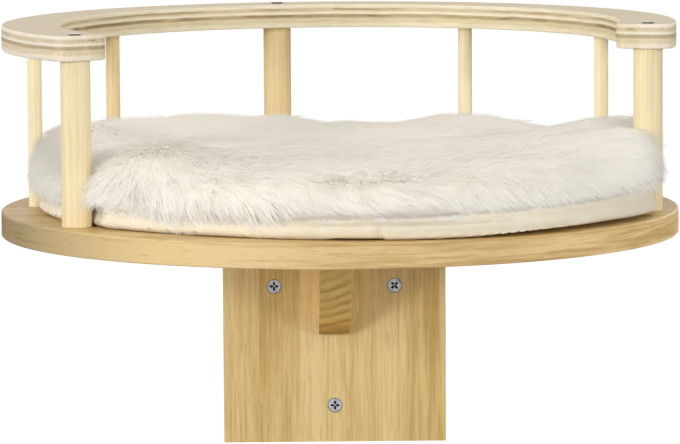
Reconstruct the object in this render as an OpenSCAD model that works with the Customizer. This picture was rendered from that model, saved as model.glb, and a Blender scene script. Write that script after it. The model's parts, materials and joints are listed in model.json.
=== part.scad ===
// Wall-mounted cat perch: a round board on a wall plate and a wooden bracket, with a
// plywood guard rail on posts and spindles, and a loose plush cushion.
// Z is up. The wall is the plane Y = 0 and the perch stands out of it towards -Y.
// The origin is the middle of the wall plate's back face.

/* [Platform] */
// Diameter of the round board
platform_d = 420; // [380:10:480]
// Thickness of the round board
platform_t = 15; // [12:0.5:22]
// Thickness of the edge banding on the boards
band_t = 1; // [0.5:0.1:2]
// Chamfer on the arrises of boards and posts
arris = 0.6; // [0.2:0.1:0.9]

/* [Wall plate] */
// Width of the wall plate
plate_w = 148; // [120:2:200]
// Height of the wall plate
plate_h = 163; // [140:1:220]
// Thickness of the wall plate
plate_t = 15; // [12:0.5:22]

/* [Support bracket] */
// Thickness of the bracket
bracket_t = 21; // [18:1:30]
// Reach of the bracket from the wall plate
bracket_l = 150; // [120:5:190]
// Height of the bracket at the wall plate
bracket_h = 90; // [75:5:120]
// Height of the bracket's blunt front end
bracket_nose = 10; // [4:1:20]
// Depth of the flat at the bracket's lower end
bracket_toe = 6; // [2:1:12]

/* [Posts and spindles] */
// Height between the board and the guard rail
post_h = 100; // [70:5:150]
// Diameter of the three posts
post_d = 18; // [15:1:22]
// Diameter of the four spindles
spindle_d = 9; // [7:0.5:11]
// Distance of the posts' centres from the board's edge
post_inset = 17.5; // [15:0.5:22]
// Distance of the spindles' centres from the board's edge
spindle_inset = 20; // [16:0.5:22]
// Angle from the back post to each front post, in degrees
post_angle = 113; // [100:1:125]
// Angle from the back post to the nearer spindles, in degrees
near_spindle_angle = 38; // [25:1:45]
// Angle from the back post to the farther spindles, in degrees
far_spindle_angle = 74; // [60:1:85]
// Turn of the guard about the board's centre, in degrees
guard_turn = 11; // [-20:1:20]
// Depth of the spindles' blind sockets
socket_depth = 8; // [5:0.5:10]

/* [Guard rail] */
// Thickness of the plywood rail
rail_t = 15; // [12:0.5:22]
// Width of the rail
rail_w = 35.5; // [32:0.5:44]
// Distance of the rail's outer edge from the board's edge
rail_inset = 1.5; // [0.5:0.5:4]
// Reach of the rail's ends past the front posts' centres
rail_end_reach = 10; // [9:0.5:14]
// Radius of the rail's rounded corners
rail_corner_r = 10; // [4:0.5:14]

/* [Screws and plugs] */
// Diameter of the wall screws
wall_screw_d = 5; // [4:0.5:6]
// Length of the wall screws
wall_screw_l = 50; // [40:5:55]
// Head diameter of the wall screws
wall_screw_head_d = 9.8; // [9:0.2:12]
// Spacing of the two upper wall screws
wall_screw_spacing = 80; // [60:2:100]
// Distance of the upper wall screws below the plate's top
wall_screw_drop = 58.5; // [50:0.5:70]
// Height of the lower wall screw above the plate's bottom
wall_screw_rise = 24.5; // [16:0.5:40]
// Diameter of the wall plugs
plug_d = 8; // [7.5:0.5:10]
// Length of the wall plugs
plug_l = 40; // [36:2:50]
// Diameter of the screws that join the boards, bracket, posts and rail
joint_screw_d = 4; // [3:0.5:4.5]
// Length of those screws
joint_screw_l = 40; // [30:1:45]
// Head diameter of those screws
joint_screw_head_d = 8; // [7:0.2:9]
// Height that the rail screws' heads stand above the rail
rail_screw_rise = 1; // [0:0.1:1.5]
// Spacing of the two screws from the board into the plate's top edge
plate_screw_spacing = 44; // [30:1:50]
// Distance of the upper bracket screw below the plate's top
upper_bracket_screw_drop = 20; // [15:1:28]
// Distance of the lower bracket screw below the plate's top
lower_bracket_screw_drop = 58; // [42:1:60]
// Distance of the nearer board screw from the plate's front face
near_board_screw_reach = 40; // [35:1:50]
// Distance of the farther board screw from the plate's front face
far_board_screw_reach = 100; // [70:1:102]

/* [Cushion] */
// Distance of the cushion's mean edge from the board's edge
cushion_inset = 23; // [20:1:32]
// Height of the cushion's seam above its underside
cushion_seam_h = 13; // [10:0.5:18]
// Mean height of the cushion's rim
cushion_rim_h = 36; // [30:1:42]
// Height of the cushion's middle
cushion_middle_h = 31; // [26:1:36]
// Thickness of the padded covers
cover_t = 3.6; // [3.2:0.1:5]
// Width of the hook and loop strips
strip_w = 25; // [16:1:40]
// Length of the hook and loop strips
strip_l = 60; // [30:5:90]
// Thickness of one strip
strip_t = 1.2; // [0.8:0.1:1.3]
// Sideways place of the strips
strip_x = 5; // [-20:1:20]

/* [Hidden] */
$fn = 96;

// Clearance round screws, spindles and the loose cushion, and the overrun of every cut
screw_clearance = 0.15;
socket_clearance = 0.1;
socket_end_gap = 0.5;
cushion_gap = 0.3;
cushion_post_gap = 0.6;
overrun = 1;

// Boards: the origin's height is the middle of the plate
platform_r = platform_d / 2;
plate_top = plate_h / 2;
platform_top = plate_top + platform_t;
rail_bottom = platform_top + post_h;
rail_top = rail_bottom + rail_t;

// Guard: the back post stands behind the middle, turned with the whole guard
post_ring_r = platform_r - post_inset;
spindle_ring_r = platform_r - spindle_inset;
rail_outer_r = platform_r - rail_inset;
rail_inner_r = rail_outer_r - rail_w;
guard_heading = 90 + guard_turn;
post_angles = [0, post_angle, -post_angle];
spindle_angles = [near_spindle_angle, -near_spindle_angle, far_spindle_angle,
    -far_spindle_angle];

// Screws: thread pitch, core and cross recess follow the screw
thread_pitch_share = 0.45;
thread_core_share = 0.66;
plain_share = 0.3;
recess_length_share = 0.58;
recess_width_share = 0.15;
recess_depth_share = 0.2;
upright_recess = 0;
slanted_recess = 45;
plug_slit_share = 0.45;
plug_slit_w_share = 0.12;

// Cushion: two covers and a filling, drawn as rings of corners about the board's centre
sides = 90;
cushion_r = platform_r - cushion_inset;
strip_end_inset = 2;
dent_width = 6;
seam_draw_in = 3;
base_round_r = 8;
lobe_shares = [0.016, 0.032];
lobe_counts = [1, 3];
lobe_headings = [-45, -63];
rim_wave_shares = [0.11, 0.06];
rim_wave_counts = [2, 5];
rim_wave_headings = [0, 65];

// Shapes that several pieces share

module at_board_centre(height) {
    translate([0, -platform_r, height]) children();
}

// Children on a ring about the board's centre, at an angle from the back post
module on_ring(ring_r, angle, height) {
    at_board_centre(height)
        rotate([0, 0, guard_heading + angle])
        translate([ring_r, 0, 0])
        children();
}

// Disc, ring or rod of one rectangular section whose arrises are chamfered
module turned(inner_r, outer_r, height, inner_arris, outer_arris) {
    rotate_extrude()
        polygon([
            [inner_r + inner_arris, 0],
            [outer_r - outer_arris, 0],
            [outer_r, outer_arris],
            [outer_r, height - outer_arris],
            [outer_r - outer_arris, height],
            [inner_r + inner_arris, height],
            [inner_r, height - inner_arris],
            [inner_r, inner_arris],
        ]);
}

// Countersunk screw, head up at the origin and pointing down
function head_h(d, head_d) = (head_d - d) / 2;

module screw(d, l, head_d, recess_turn) {
    sink = head_h(d, head_d);
    pitch = d * thread_pitch_share;
    core_r = d / 2 * thread_core_share;
    thread_start = sink + (l - sink) * plain_share;
    turns = floor((l - thread_start - d) / pitch);
    thread_end = thread_start + turns * pitch;
    difference() {
        rotate_extrude()
            polygon(concat(
                [[0, 0], [head_d / 2, 0], [d / 2, -sink], [d / 2, -thread_start]],
                [for (i = [0:turns - 1]) each [
                    [core_r, -thread_start - (i + 1 / 2) * pitch],
                    [d / 2, -thread_start - (i + 1) * pitch],
                ]],
                [[core_r, -thread_end - pitch / 2], [0, -l]]
            ));
        rotate([0, 0, recess_turn]) cross_recess(head_d);
    }
}

module cross_recess(head_d) {
    slot_l = head_d * recess_length_share;
    slot_w = head_d * recess_width_share;
    slot_h = head_d * recess_depth_share;
    for (turn = [0, 90])
        rotate([0, 0, turn])
        translate([-slot_l / 2, -slot_w / 2, -slot_h])
        cube([slot_l, slot_w, slot_h + overrun]);
}

// Bore and countersink that such a screw passes through or bites into
module screw_hole(d, l, head_d) {
    bore_r = d / 2 + screw_clearance;
    mouth_r = head_d / 2 + screw_clearance;
    sink = mouth_r - bore_r;
    translate([0, 0, -l - screw_clearance])
        cylinder(h = l + screw_clearance, r = bore_r);
    translate([0, 0, -sink])
        cylinder(h = sink, r1 = bore_r, r2 = mouth_r);
    cylinder(h = overrun, r = mouth_r);
}

module joint_screw() {
    screw(joint_screw_d, joint_screw_l, joint_screw_head_d, slanted_recess);
}

module joint_screw_hole() {
    screw_hole(joint_screw_d, joint_screw_l, joint_screw_head_d);
}

// Places of the fasteners, each with its head at the surface it is driven from

module at_wall_screw(x, z) {
    translate([x, -plate_t, z]) rotate([90, 0, 0]) children();
}

module at_upper_left_wall_screw() {
    at_wall_screw(-wall_screw_spacing / 2, plate_top - wall_screw_drop) children();
}

module at_upper_right_wall_screw() {
    at_wall_screw(wall_screw_spacing / 2, plate_top - wall_screw_drop) children();
}

module at_lower_wall_screw() {
    at_wall_screw(0, wall_screw_rise - plate_top) children();
}

module at_all_wall_screws() {
    at_upper_left_wall_screw() children();
    at_upper_right_wall_screw() children();
    at_lower_wall_screw() children();
}

module at_plate_bracket_screws() {
    for (drop = [upper_bracket_screw_drop, lower_bracket_screw_drop])
        translate([0, 0, plate_top - drop])
        rotate([-90, 0, 0])
        children();
}

module at_platform_bracket_screws() {
    for (reach = [near_board_screw_reach, far_board_screw_reach])
        translate([0, -plate_t - reach, platform_top])
        children();
}

module at_platform_plate_screws() {
    for (side = [-1, 1])
        translate([side * plate_screw_spacing / 2, -plate_t / 2, platform_top])
        children();
}

module at_post_base_screws() {
    for (angle = post_angles)
        on_ring(post_ring_r, angle, plate_top)
        rotate([180, 0, 0])
        children();
}

module at_rail_screw(angle) {
    on_ring(post_ring_r, angle, rail_top + rail_screw_rise) children();
}

// Wall plate

module wall_plate() {
    core_w = plate_w - 2 * band_t;
    core_h = plate_h - band_t;
    color("burlywood") difference() {
        translate([-core_w / 2, -plate_t, band_t - plate_top])
            cube([core_w, plate_t, core_h]);
        at_all_wall_screws() screw_hole(wall_screw_d, wall_screw_l, wall_screw_head_d);
        at_all_wall_screws() plug_relief();
        at_plate_bracket_screws() joint_screw_hole();
        at_platform_plate_screws() joint_screw_hole();
    }
}

// Cone at the plate's back that clears the plug's rim, so that the plate lies flat
module plug_relief() {
    bore_r = wall_screw_d / 2 + screw_clearance;
    mouth_r = plug_d / 2 + screw_clearance;
    translate([0, 0, -plate_t])
        cylinder(h = mouth_r - bore_r, r1 = mouth_r, r2 = bore_r);
    translate([0, 0, -plate_t - overrun])
        cylinder(h = overrun, r = mouth_r);
}

// Edge banding: two long strips and one below, between them
module wall_plate_edge_bands() {
    strip_h = plate_h - band_t;
    color("tan") {
        for (side = [-1, 1])
            translate([side * (plate_w - band_t) / 2, -plate_t / 2, band_t / 2])
            cube([band_t, plate_t, strip_h], center = true);
        translate([0, -plate_t / 2, (band_t - plate_h) / 2])
            cube([plate_w, plate_t, band_t], center = true);
    }
}

// Round board

module platform() {
    color("burlywood") difference() {
        at_board_centre(plate_top)
            cylinder(h = platform_t, r = platform_r - band_t);
        at_platform_bracket_screws() joint_screw_hole();
        at_platform_plate_screws() joint_screw_hole();
        at_post_base_screws() joint_screw_hole();
        for (angle = spindle_angles)
            on_ring(spindle_ring_r, angle, platform_top - socket_depth)
            cylinder(h = socket_depth + overrun, d = spindle_d + 2 * socket_clearance);
    }
}

module platform_edge_band() {
    color("tan") at_board_centre(plate_top)
        turned(platform_r - band_t, platform_r, platform_t, 0, arris);
}

// Bracket: a triangular brace with both sharp tips cut off

module support_bracket() {
    color("peru") difference() {
        translate([bracket_t / 2, -plate_t, plate_top])
            rotate([90, 0, -90])
            linear_extrude(bracket_t)
            polygon([
                [0, 0],
                [bracket_l, 0],
                [bracket_l, -bracket_nose],
                [bracket_toe, -bracket_h],
                [0, -bracket_h],
            ]);
        at_plate_bracket_screws() joint_screw_hole();
        at_platform_bracket_screws() joint_screw_hole();
    }
}

module plate_bracket_screws() {
    color("silver") at_plate_bracket_screws() joint_screw();
}

module platform_bracket_screws() {
    color("silver") at_platform_bracket_screws() joint_screw();
}

module platform_plate_screws() {
    color("silver") at_platform_plate_screws() joint_screw();
}

// Wall screws and plugs

module wall_screw(recess_turn) {
    color("silver") screw(wall_screw_d, wall_screw_l, wall_screw_head_d, recess_turn);
}

// Sleeve round the screw, behind the plate, with a slit in its far end
module wall_plug() {
    slit_l = plug_l * plug_slit_share;
    slit_w = plug_d * plug_slit_w_share;
    color("lightgray") translate([0, 0, -plate_t - plug_l]) difference() {
        cylinder(h = plug_l, d = plug_d);
        translate([0, 0, -overrun])
            cylinder(h = plug_l + 2 * overrun, r = wall_screw_d / 2 + screw_clearance);
        translate([-plug_d / 2 - overrun, -slit_w / 2, -overrun])
            cube([plug_d + 2 * overrun, slit_w, slit_l + overrun]);
    }
}

// Posts, spindles and their screws

module post(angle) {
    color("wheat") difference() {
        on_ring(post_ring_r, angle, platform_top)
            turned(0, post_d / 2, post_h, 0, arris);
        at_rail_screw(angle) joint_screw_hole();
        on_ring(post_ring_r, angle, plate_top)
            rotate([180, 0, 0])
            joint_screw_hole();
    }
}

module spindle(angle) {
    reach = socket_depth - socket_end_gap;
    color("wheat") on_ring(spindle_ring_r, angle, platform_top - reach)
        turned(0, spindle_d / 2, post_h + 2 * reach, 0, arris);
}

module post_base_screws() {
    color("silver") at_post_base_screws() joint_screw();
}

// Guard rail: a plywood arc with rounded ends past the front posts

// Section of the rail's rounded end, from its flat side to its chamfered side
module rail_end_section(width) {
    polygon([
        [0, 0],
        [width - arris, 0],
        [width, arris],
        [width, rail_t - arris],
        [width - arris, rail_t],
        [0, rail_t],
    ]);
}

module rail_arc() {
    rotate([0, 0, -post_angle])
        rotate_extrude(angle = 2 * post_angle)
        polygon([
            [rail_inner_r + arris, 0],
            [rail_outer_r - arris, 0],
            [rail_outer_r, arris],
            [rail_outer_r, rail_t - arris],
            [rail_outer_r - arris, rail_t],
            [rail_inner_r + arris, rail_t],
            [rail_inner_r, rail_t - arris],
            [rail_inner_r, arris],
        ]);
}

// One end in the ring's own X: a straight bar between two quarter rounds
module rail_end() {
    bar_l = rail_w - 2 * rail_corner_r;
    shoulder = rail_end_reach - rail_corner_r;
    translate([rail_outer_r - rail_corner_r, shoulder, 0])
        rotate_extrude(angle = 90) rail_end_section(rail_corner_r);
    translate([rail_inner_r + rail_corner_r, shoulder, 0])
        rotate([0, 0, 90])
        rotate_extrude(angle = 90) rail_end_section(rail_corner_r);
    translate([rail_inner_r + rail_corner_r + bar_l, shoulder, 0])
        rotate([90, 0, -90])
        mirror([1, 0, 0])
        linear_extrude(bar_l) rail_end_section(rail_corner_r);
    if (shoulder > 0)
        translate([rail_inner_r, shoulder, 0])
            rotate([90, 0, 0])
            linear_extrude(shoulder) translate([rail_w / 2, 0]) {
                mirror([1, 0]) rail_end_section(rail_w / 2);
                rail_end_section(rail_w / 2);
            }
}

module guard_rail() {
    color("blanchedalmond") difference() {
        at_board_centre(rail_bottom) rotate([0, 0, guard_heading]) {
            rail_arc();
            rotate([0, 0, post_angle]) rail_end();
            mirror([0, 1, 0]) rotate([0, 0, post_angle]) rail_end();
        }
        for (angle = post_angles)
            at_rail_screw(angle) joint_screw_hole();
        for (angle = spindle_angles)
            on_ring(spindle_ring_r, angle, rail_bottom - overrun)
            cylinder(h = socket_depth + overrun, d = spindle_d + 2 * socket_clearance);
    }
}

module rail_screw(angle) {
    color("silver") at_rail_screw(angle) joint_screw();
}

// Hook and loop strips: one pair at the cushion's front edge and one at its back

module strip_pair(height) {
    for (heading = [-90, 90])
        at_board_centre(height)
        rotate([0, 0, heading])
        translate([cushion_edge(heading) - base_round_r + strip_end_inset, 0, 0])
        translate([-strip_l, -strip_w / 2 - sign(heading) * strip_x, 0])
        cube([strip_l, strip_w, strip_t]);
}

module hook_strips() {
    color("dimgray") strip_pair(platform_top);
}

module loop_strips() {
    color("gray") strip_pair(platform_top + strip_t + cushion_gap);
}

// Cushion

// Sum of waves round the edge, each with its share, count and heading
function waves(a, shares, counts, headings) =
    [for (i = [0:len(shares) - 1]) shares[i] * cos(counts[i] * (a - headings[i]))]
    * [for (i = [0:len(shares) - 1]) 1];

// Edge before the posts dent it
function free_edge(a) = cushion_r * (1 + waves(a, lobe_shares, lobe_counts, lobe_headings));

// Depth and shape of the dent that one post or spindle presses into the edge
function dent(a, at, ring_r, r) =
    let (limit = ring_r - r - cushion_post_gap, off = ((a - at + 540) % 360) - 180)
    max(0, free_edge(at) - limit) * exp(-pow(off / dent_width, 4));

function post_dents(a) =
    [for (angle = post_angles)
        dent(a, guard_heading + angle, post_ring_r, post_d / 2)] * [1, 1, 1];

function spindle_dents(a) =
    [for (angle = spindle_angles)
        dent(a, guard_heading + angle, spindle_ring_r, spindle_d / 2)] * [1, 1, 1, 1];

function cushion_edge(a) = free_edge(a) - post_dents(a) - spindle_dents(a);

function rim_h(a) =
    cushion_rim_h * (1 + waves(a, rim_wave_shares, rim_wave_counts, rim_wave_headings));

// Rings of the covers' outer and inner skins, each [radius, height] at one angle
function base_outer_rings(a) = let (e = cushion_edge(a)) [
    [e - base_round_r, 0],
    [e - base_round_r / 2, base_round_r / 8],
    [e - base_round_r / 8, base_round_r / 2],
    [e, base_round_r],
    [e - seam_draw_in, cushion_seam_h],
];
function base_inner_rings(a) = let (e = cushion_edge(a) - cover_t) [
    [e - seam_draw_in, cushion_seam_h],
    [e, base_round_r],
    [e - base_round_r, cover_t],
];
function plush_outer_rings(a) = let (e = cushion_edge(a), h = rim_h(a)) [
    [e - seam_draw_in, cushion_seam_h],
    [e, cushion_seam_h + (h - cushion_seam_h) / 4],
    [e - seam_draw_in / 2, cushion_seam_h + (h - cushion_seam_h) * 2 / 3],
    [e - base_round_r, h - seam_draw_in / 2],
    [e - 2 * base_round_r, h],
    [e * 3 / 4, (2 * h + cushion_middle_h) / 3],
    [e / 2, (h + 3 * cushion_middle_h) / 4],
];
function plush_inner_rings(a) = let (e = cushion_edge(a) - cover_t, h = rim_h(a) - cover_t) [
    [e / 2, (h + 3 * (cushion_middle_h - cover_t)) / 4],
    [e * 3 / 4, (2 * h + cushion_middle_h - cover_t) / 3],
    [e - base_round_r, h - seam_draw_in],
    [e - seam_draw_in, cushion_seam_h + (h - cushion_seam_h) / 2],
    [e - seam_draw_in, cushion_seam_h],
];

// Closed skin: rings of corners joined by triangles, with a point at each pole or,
// where the first and last ring are joined to each other, a hollow shell
module ring_skin(rings, first_pole, last_pole) {
    levels = len(rings);
    points = concat(
        [for (ring = rings) each ring],
        [first_pole, last_pole]
    );
    first = levels * sides;
    last = first + 1;
    faces = concat(
        [for (k = [0:levels - 2]) for (i = [0:sides - 1]) each
            let (j = (i + 1) % sides, here = k * sides, above = here + sides) [
                [here + i, above + j, here + j],
                [here + i, above + i, above + j],
            ]],
        [for (i = [0:sides - 1]) [first, i, (i + 1) % sides]],
        [for (i = [0:sides - 1])
            let (here = (levels - 1) * sides) [last, here + (i + 1) % sides, here + i]]
    );
    polyhedron(points, faces, convexity = 6);
}

// One ring of corners: the radius and height that a profile gives at each angle
function ring_at(profiles, k, inward, lift) = [
    for (i = [0:sides - 1])
        let (a = i * 360 / sides, p = profiles[i][k])
        [(p[0] - inward) * cos(a), (p[0] - inward) * sin(a), p[1] + lift]
];

module cushion_base_cover() {
    outer = [for (i = [0:sides - 1]) base_outer_rings(i * 360 / sides)];
    inner = [for (i = [0:sides - 1]) base_inner_rings(i * 360 / sides)];
    color("antiquewhite") difference() {
        at_board_centre(platform_top + cushion_gap)
            ring_skin(
                concat(
                    [for (k = [0:len(outer[0]) - 1]) ring_at(outer, k, 0, 0)],
                    [for (k = [0:len(inner[0]) - 1]) ring_at(inner, k, 0, 0)]
                ),
                [0, 0, 0],
                [0, 0, cover_t]
            );
        strip_recess();
    }
}

// Recess in the underside that takes both strips
module strip_recess() {
    reach = strip_w + strip_l;
    for (heading = [-90, 90])
        at_board_centre(platform_top)
        rotate([0, 0, heading])
        translate([cushion_edge(heading) - base_round_r + strip_end_inset - strip_l - cushion_gap,
            -strip_w / 2 - sign(heading) * strip_x - cushion_gap, 0])
        cube([reach, strip_w + 2 * cushion_gap, 2 * strip_t + cushion_gap]);
}

module cushion_plush_cover() {
    outer = [for (i = [0:sides - 1]) plush_outer_rings(i * 360 / sides)];
    inner = [for (i = [0:sides - 1]) plush_inner_rings(i * 360 / sides)];
    outer_levels = len(outer[0]);
    inner_levels = len(inner[0]);
    color("floralwhite") at_board_centre(platform_top + cushion_gap)
        ring_skin(
            concat(
                [for (k = [0:inner_levels - 1]) ring_at(inner, k, 0, 0)],
                [for (k = [0:outer_levels - 1]) ring_at(outer, k, 0, 0)]
            ),
            [0, 0, cushion_middle_h - cover_t],
            [0, 0, cushion_middle_h]
        );
}

module cushion_filling() {
    low = [for (i = [0:sides - 1]) base_inner_rings(i * 360 / sides)];
    high = [for (i = [0:sides - 1]) plush_inner_rings(i * 360 / sides)];
    color("white") at_board_centre(platform_top + cushion_gap)
        ring_skin(
            [
                ring_at(low, 2, cushion_gap, cushion_gap),
                ring_at(low, 1, cushion_gap, 0),
                ring_at(low, 0, cushion_gap, 0),
                ring_at(high, 3, cushion_gap, 0),
                ring_at(high, 2, cushion_gap, -cushion_gap),
                ring_at(high, 1, cushion_gap, -cushion_gap),
                ring_at(high, 0, cushion_gap, -cushion_gap),
            ],
            [0, 0, cover_t + cushion_gap],
            [0, 0, cushion_middle_h - cover_t - cushion_gap]
        );
}

wall_plate();
wall_plate_edge_bands();
platform();
platform_edge_band();
support_bracket();
plate_bracket_screws();
platform_bracket_screws();
platform_plate_screws();
at_upper_left_wall_screw() wall_screw(upright_recess);  // wall_screw_upper_left
at_upper_right_wall_screw() wall_screw(slanted_recess);  // wall_screw_upper_right
at_lower_wall_screw() wall_screw(upright_recess);  // wall_screw_lower
at_upper_left_wall_screw() wall_plug();  // wall_plug_upper_left
at_upper_right_wall_screw() wall_plug();  // wall_plug_upper_right
at_lower_wall_screw() wall_plug();  // wall_plug_lower
post(0);  // post_back
post(post_angle);  // post_front_left
post(-post_angle);  // post_front_right
spindle(near_spindle_angle);  // spindle_back_left
spindle(-near_spindle_angle);  // spindle_back_right
spindle(far_spindle_angle);  // spindle_side_left
spindle(-far_spindle_angle);  // spindle_side_right
post_base_screws();
guard_rail();
rail_screw(0);  // rail_screw_back
rail_screw(post_angle);  // rail_screw_front_left
rail_screw(-post_angle);  // rail_screw_front_right
hook_strips();
loop_strips();
cushion_base_cover();
cushion_plush_cover();
cushion_filling();
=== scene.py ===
"""Wall-mounted cat perch: a round board on a wall plate and bracket, a plywood guard
rail on posts and spindles, and a loose cushion with a long white pile.

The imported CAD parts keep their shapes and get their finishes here. The soft pieces, which
are the cushion, its pile, its stitches and the hook and loop strips, are built here round
them. All sizes are in metres in the CAD's own frame: Z is up and the wall is Y = 0.
"""

import json
import logging
import math
from dataclasses import dataclass, field
from enum import Enum
from typing import Any, Iterable, Sequence

import bmesh
import bpy
import numpy as np
from mathutils import Matrix, Vector

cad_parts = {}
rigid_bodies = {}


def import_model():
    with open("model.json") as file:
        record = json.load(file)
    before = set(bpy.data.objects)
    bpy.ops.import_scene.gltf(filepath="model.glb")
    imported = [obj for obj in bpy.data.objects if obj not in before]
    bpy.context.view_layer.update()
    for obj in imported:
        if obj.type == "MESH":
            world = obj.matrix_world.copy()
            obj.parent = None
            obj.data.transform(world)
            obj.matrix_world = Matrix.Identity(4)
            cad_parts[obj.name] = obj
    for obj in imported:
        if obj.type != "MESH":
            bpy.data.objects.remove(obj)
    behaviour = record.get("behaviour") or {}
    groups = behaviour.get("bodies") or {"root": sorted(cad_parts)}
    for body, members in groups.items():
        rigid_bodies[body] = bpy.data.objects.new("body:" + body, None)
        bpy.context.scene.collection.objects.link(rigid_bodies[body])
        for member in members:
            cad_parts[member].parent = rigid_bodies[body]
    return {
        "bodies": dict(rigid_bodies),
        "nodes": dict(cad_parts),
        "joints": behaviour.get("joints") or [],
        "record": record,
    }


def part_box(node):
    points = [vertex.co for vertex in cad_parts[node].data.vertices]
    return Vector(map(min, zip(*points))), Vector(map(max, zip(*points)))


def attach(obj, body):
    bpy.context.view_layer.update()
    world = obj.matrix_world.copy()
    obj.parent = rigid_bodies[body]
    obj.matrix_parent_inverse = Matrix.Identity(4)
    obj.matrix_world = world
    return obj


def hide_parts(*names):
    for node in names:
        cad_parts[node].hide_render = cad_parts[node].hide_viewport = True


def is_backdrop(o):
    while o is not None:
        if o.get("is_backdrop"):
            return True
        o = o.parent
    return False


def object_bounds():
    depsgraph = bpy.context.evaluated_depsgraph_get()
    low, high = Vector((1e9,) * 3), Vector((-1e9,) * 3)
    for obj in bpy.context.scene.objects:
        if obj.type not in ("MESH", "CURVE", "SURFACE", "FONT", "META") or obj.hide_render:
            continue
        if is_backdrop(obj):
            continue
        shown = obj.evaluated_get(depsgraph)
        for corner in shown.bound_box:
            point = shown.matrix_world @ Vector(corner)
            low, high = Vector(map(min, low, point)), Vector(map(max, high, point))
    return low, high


LOG = logging.getLogger("perch")
MM = 0.001

Tone = tuple[float, float, float, float]
Socket = bpy.types.NodeSocket


def tone(red: int, green: int, blue: int) -> Tone:
    """Turns a colour as seen on a screen, from 0 to 255, into a shader's linear colour."""
    shares = (channel / 255 for channel in (red, green, blue))
    return (*(s / 12.92 if s <= 0.04045 else ((s + 0.055) / 1.055) ** 2.4 for s in shares), 1.0)


def smooth_step(value: np.ndarray, start: float, end: float) -> np.ndarray:
    """Runs smoothly from 0 where the value is at start to 1 where it is at end."""
    share = np.clip((value - start) / (end - start), 0, 1)
    return share * share * (3 - 2 * share)


class Wire:
    """What a node gives, a number or a vector, which takes the usual signs of arithmetic."""

    def __init__(self, work: "NodeWork", socket: Socket) -> None:
        """Takes the nodes that it belongs to and the output."""
        self.work, self.socket = work, socket
        self.is_vector = socket.type in ("VECTOR", "RGBA")

    def sign(self, operation: str, first: Any, second: Any) -> "Wire":
        """Adds the node for one sign, for vectors or for numbers."""
        return (self.work.vector if self.is_vector else self.work.math)(operation, first, second)

    def __add__(self, other: Any) -> "Wire":
        """Returns the sum."""
        return self.sign("ADD", self, other)

    def __sub__(self, other: Any) -> "Wire":
        """Returns the difference."""
        return self.sign("SUBTRACT", self, other)

    def __rsub__(self, other: Any) -> "Wire":
        """Returns the difference from a plain number."""
        return self.sign("SUBTRACT", other, self)

    def __truediv__(self, other: Any) -> "Wire":
        """Returns the quotient."""
        return self.sign("DIVIDE", self, other)

    def __mul__(self, other: Any) -> "Wire":
        """Returns the product, which scales a vector where the other is a number."""
        plain = not hasattr(other, "__len__") and not getattr(other, "is_vector", False)
        return self.work.scaled(self, other) if self.is_vector and plain else self.sign("MULTIPLY", self, other)

    def __abs__(self) -> "Wire":
        """Returns the size of a number."""
        return self.work.math("ABSOLUTE", self)

    @property
    def x(self) -> "Wire":
        """A vector's first number."""
        return self.work.separate(self)[0]

    @property
    def y(self) -> "Wire":
        """A vector's second number."""
        return self.work.separate(self)[1]

    @property
    def z(self) -> "Wire":
        """A vector's third number."""
        return self.work.separate(self)[2]

    @property
    def unit(self) -> "Wire":
        """The vector at a length of 1."""
        return self.work.vector("NORMALIZE", self)

    @property
    def length(self) -> "Wire":
        """The vector's length."""
        return self.work.vector("LENGTH", self, output="Value")

    @property
    def bell(self) -> "Wire":
        """1 where the number is 0, and less on both sides of it, as a bell."""
        return self.work.math("EXPONENT", self * self * -1.0)

    def dot(self, other: Any) -> "Wire":
        """Returns the dot product with another vector."""
        return self.work.vector("DOT_PRODUCT", self, other, output="Value")

    def between(self, low: float, high: float, first: Any = 0.0, last: Any = 1.0) -> "Wire":
        """Maps the span from low to high to the one from first to last, and holds it there."""
        spans = {"From Min": low, "From Max": high, "To Min": first, "To Max": last}
        return self.work.get("ShaderNodeMapRange", {"Value": self, **spans}, "Result")


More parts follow.
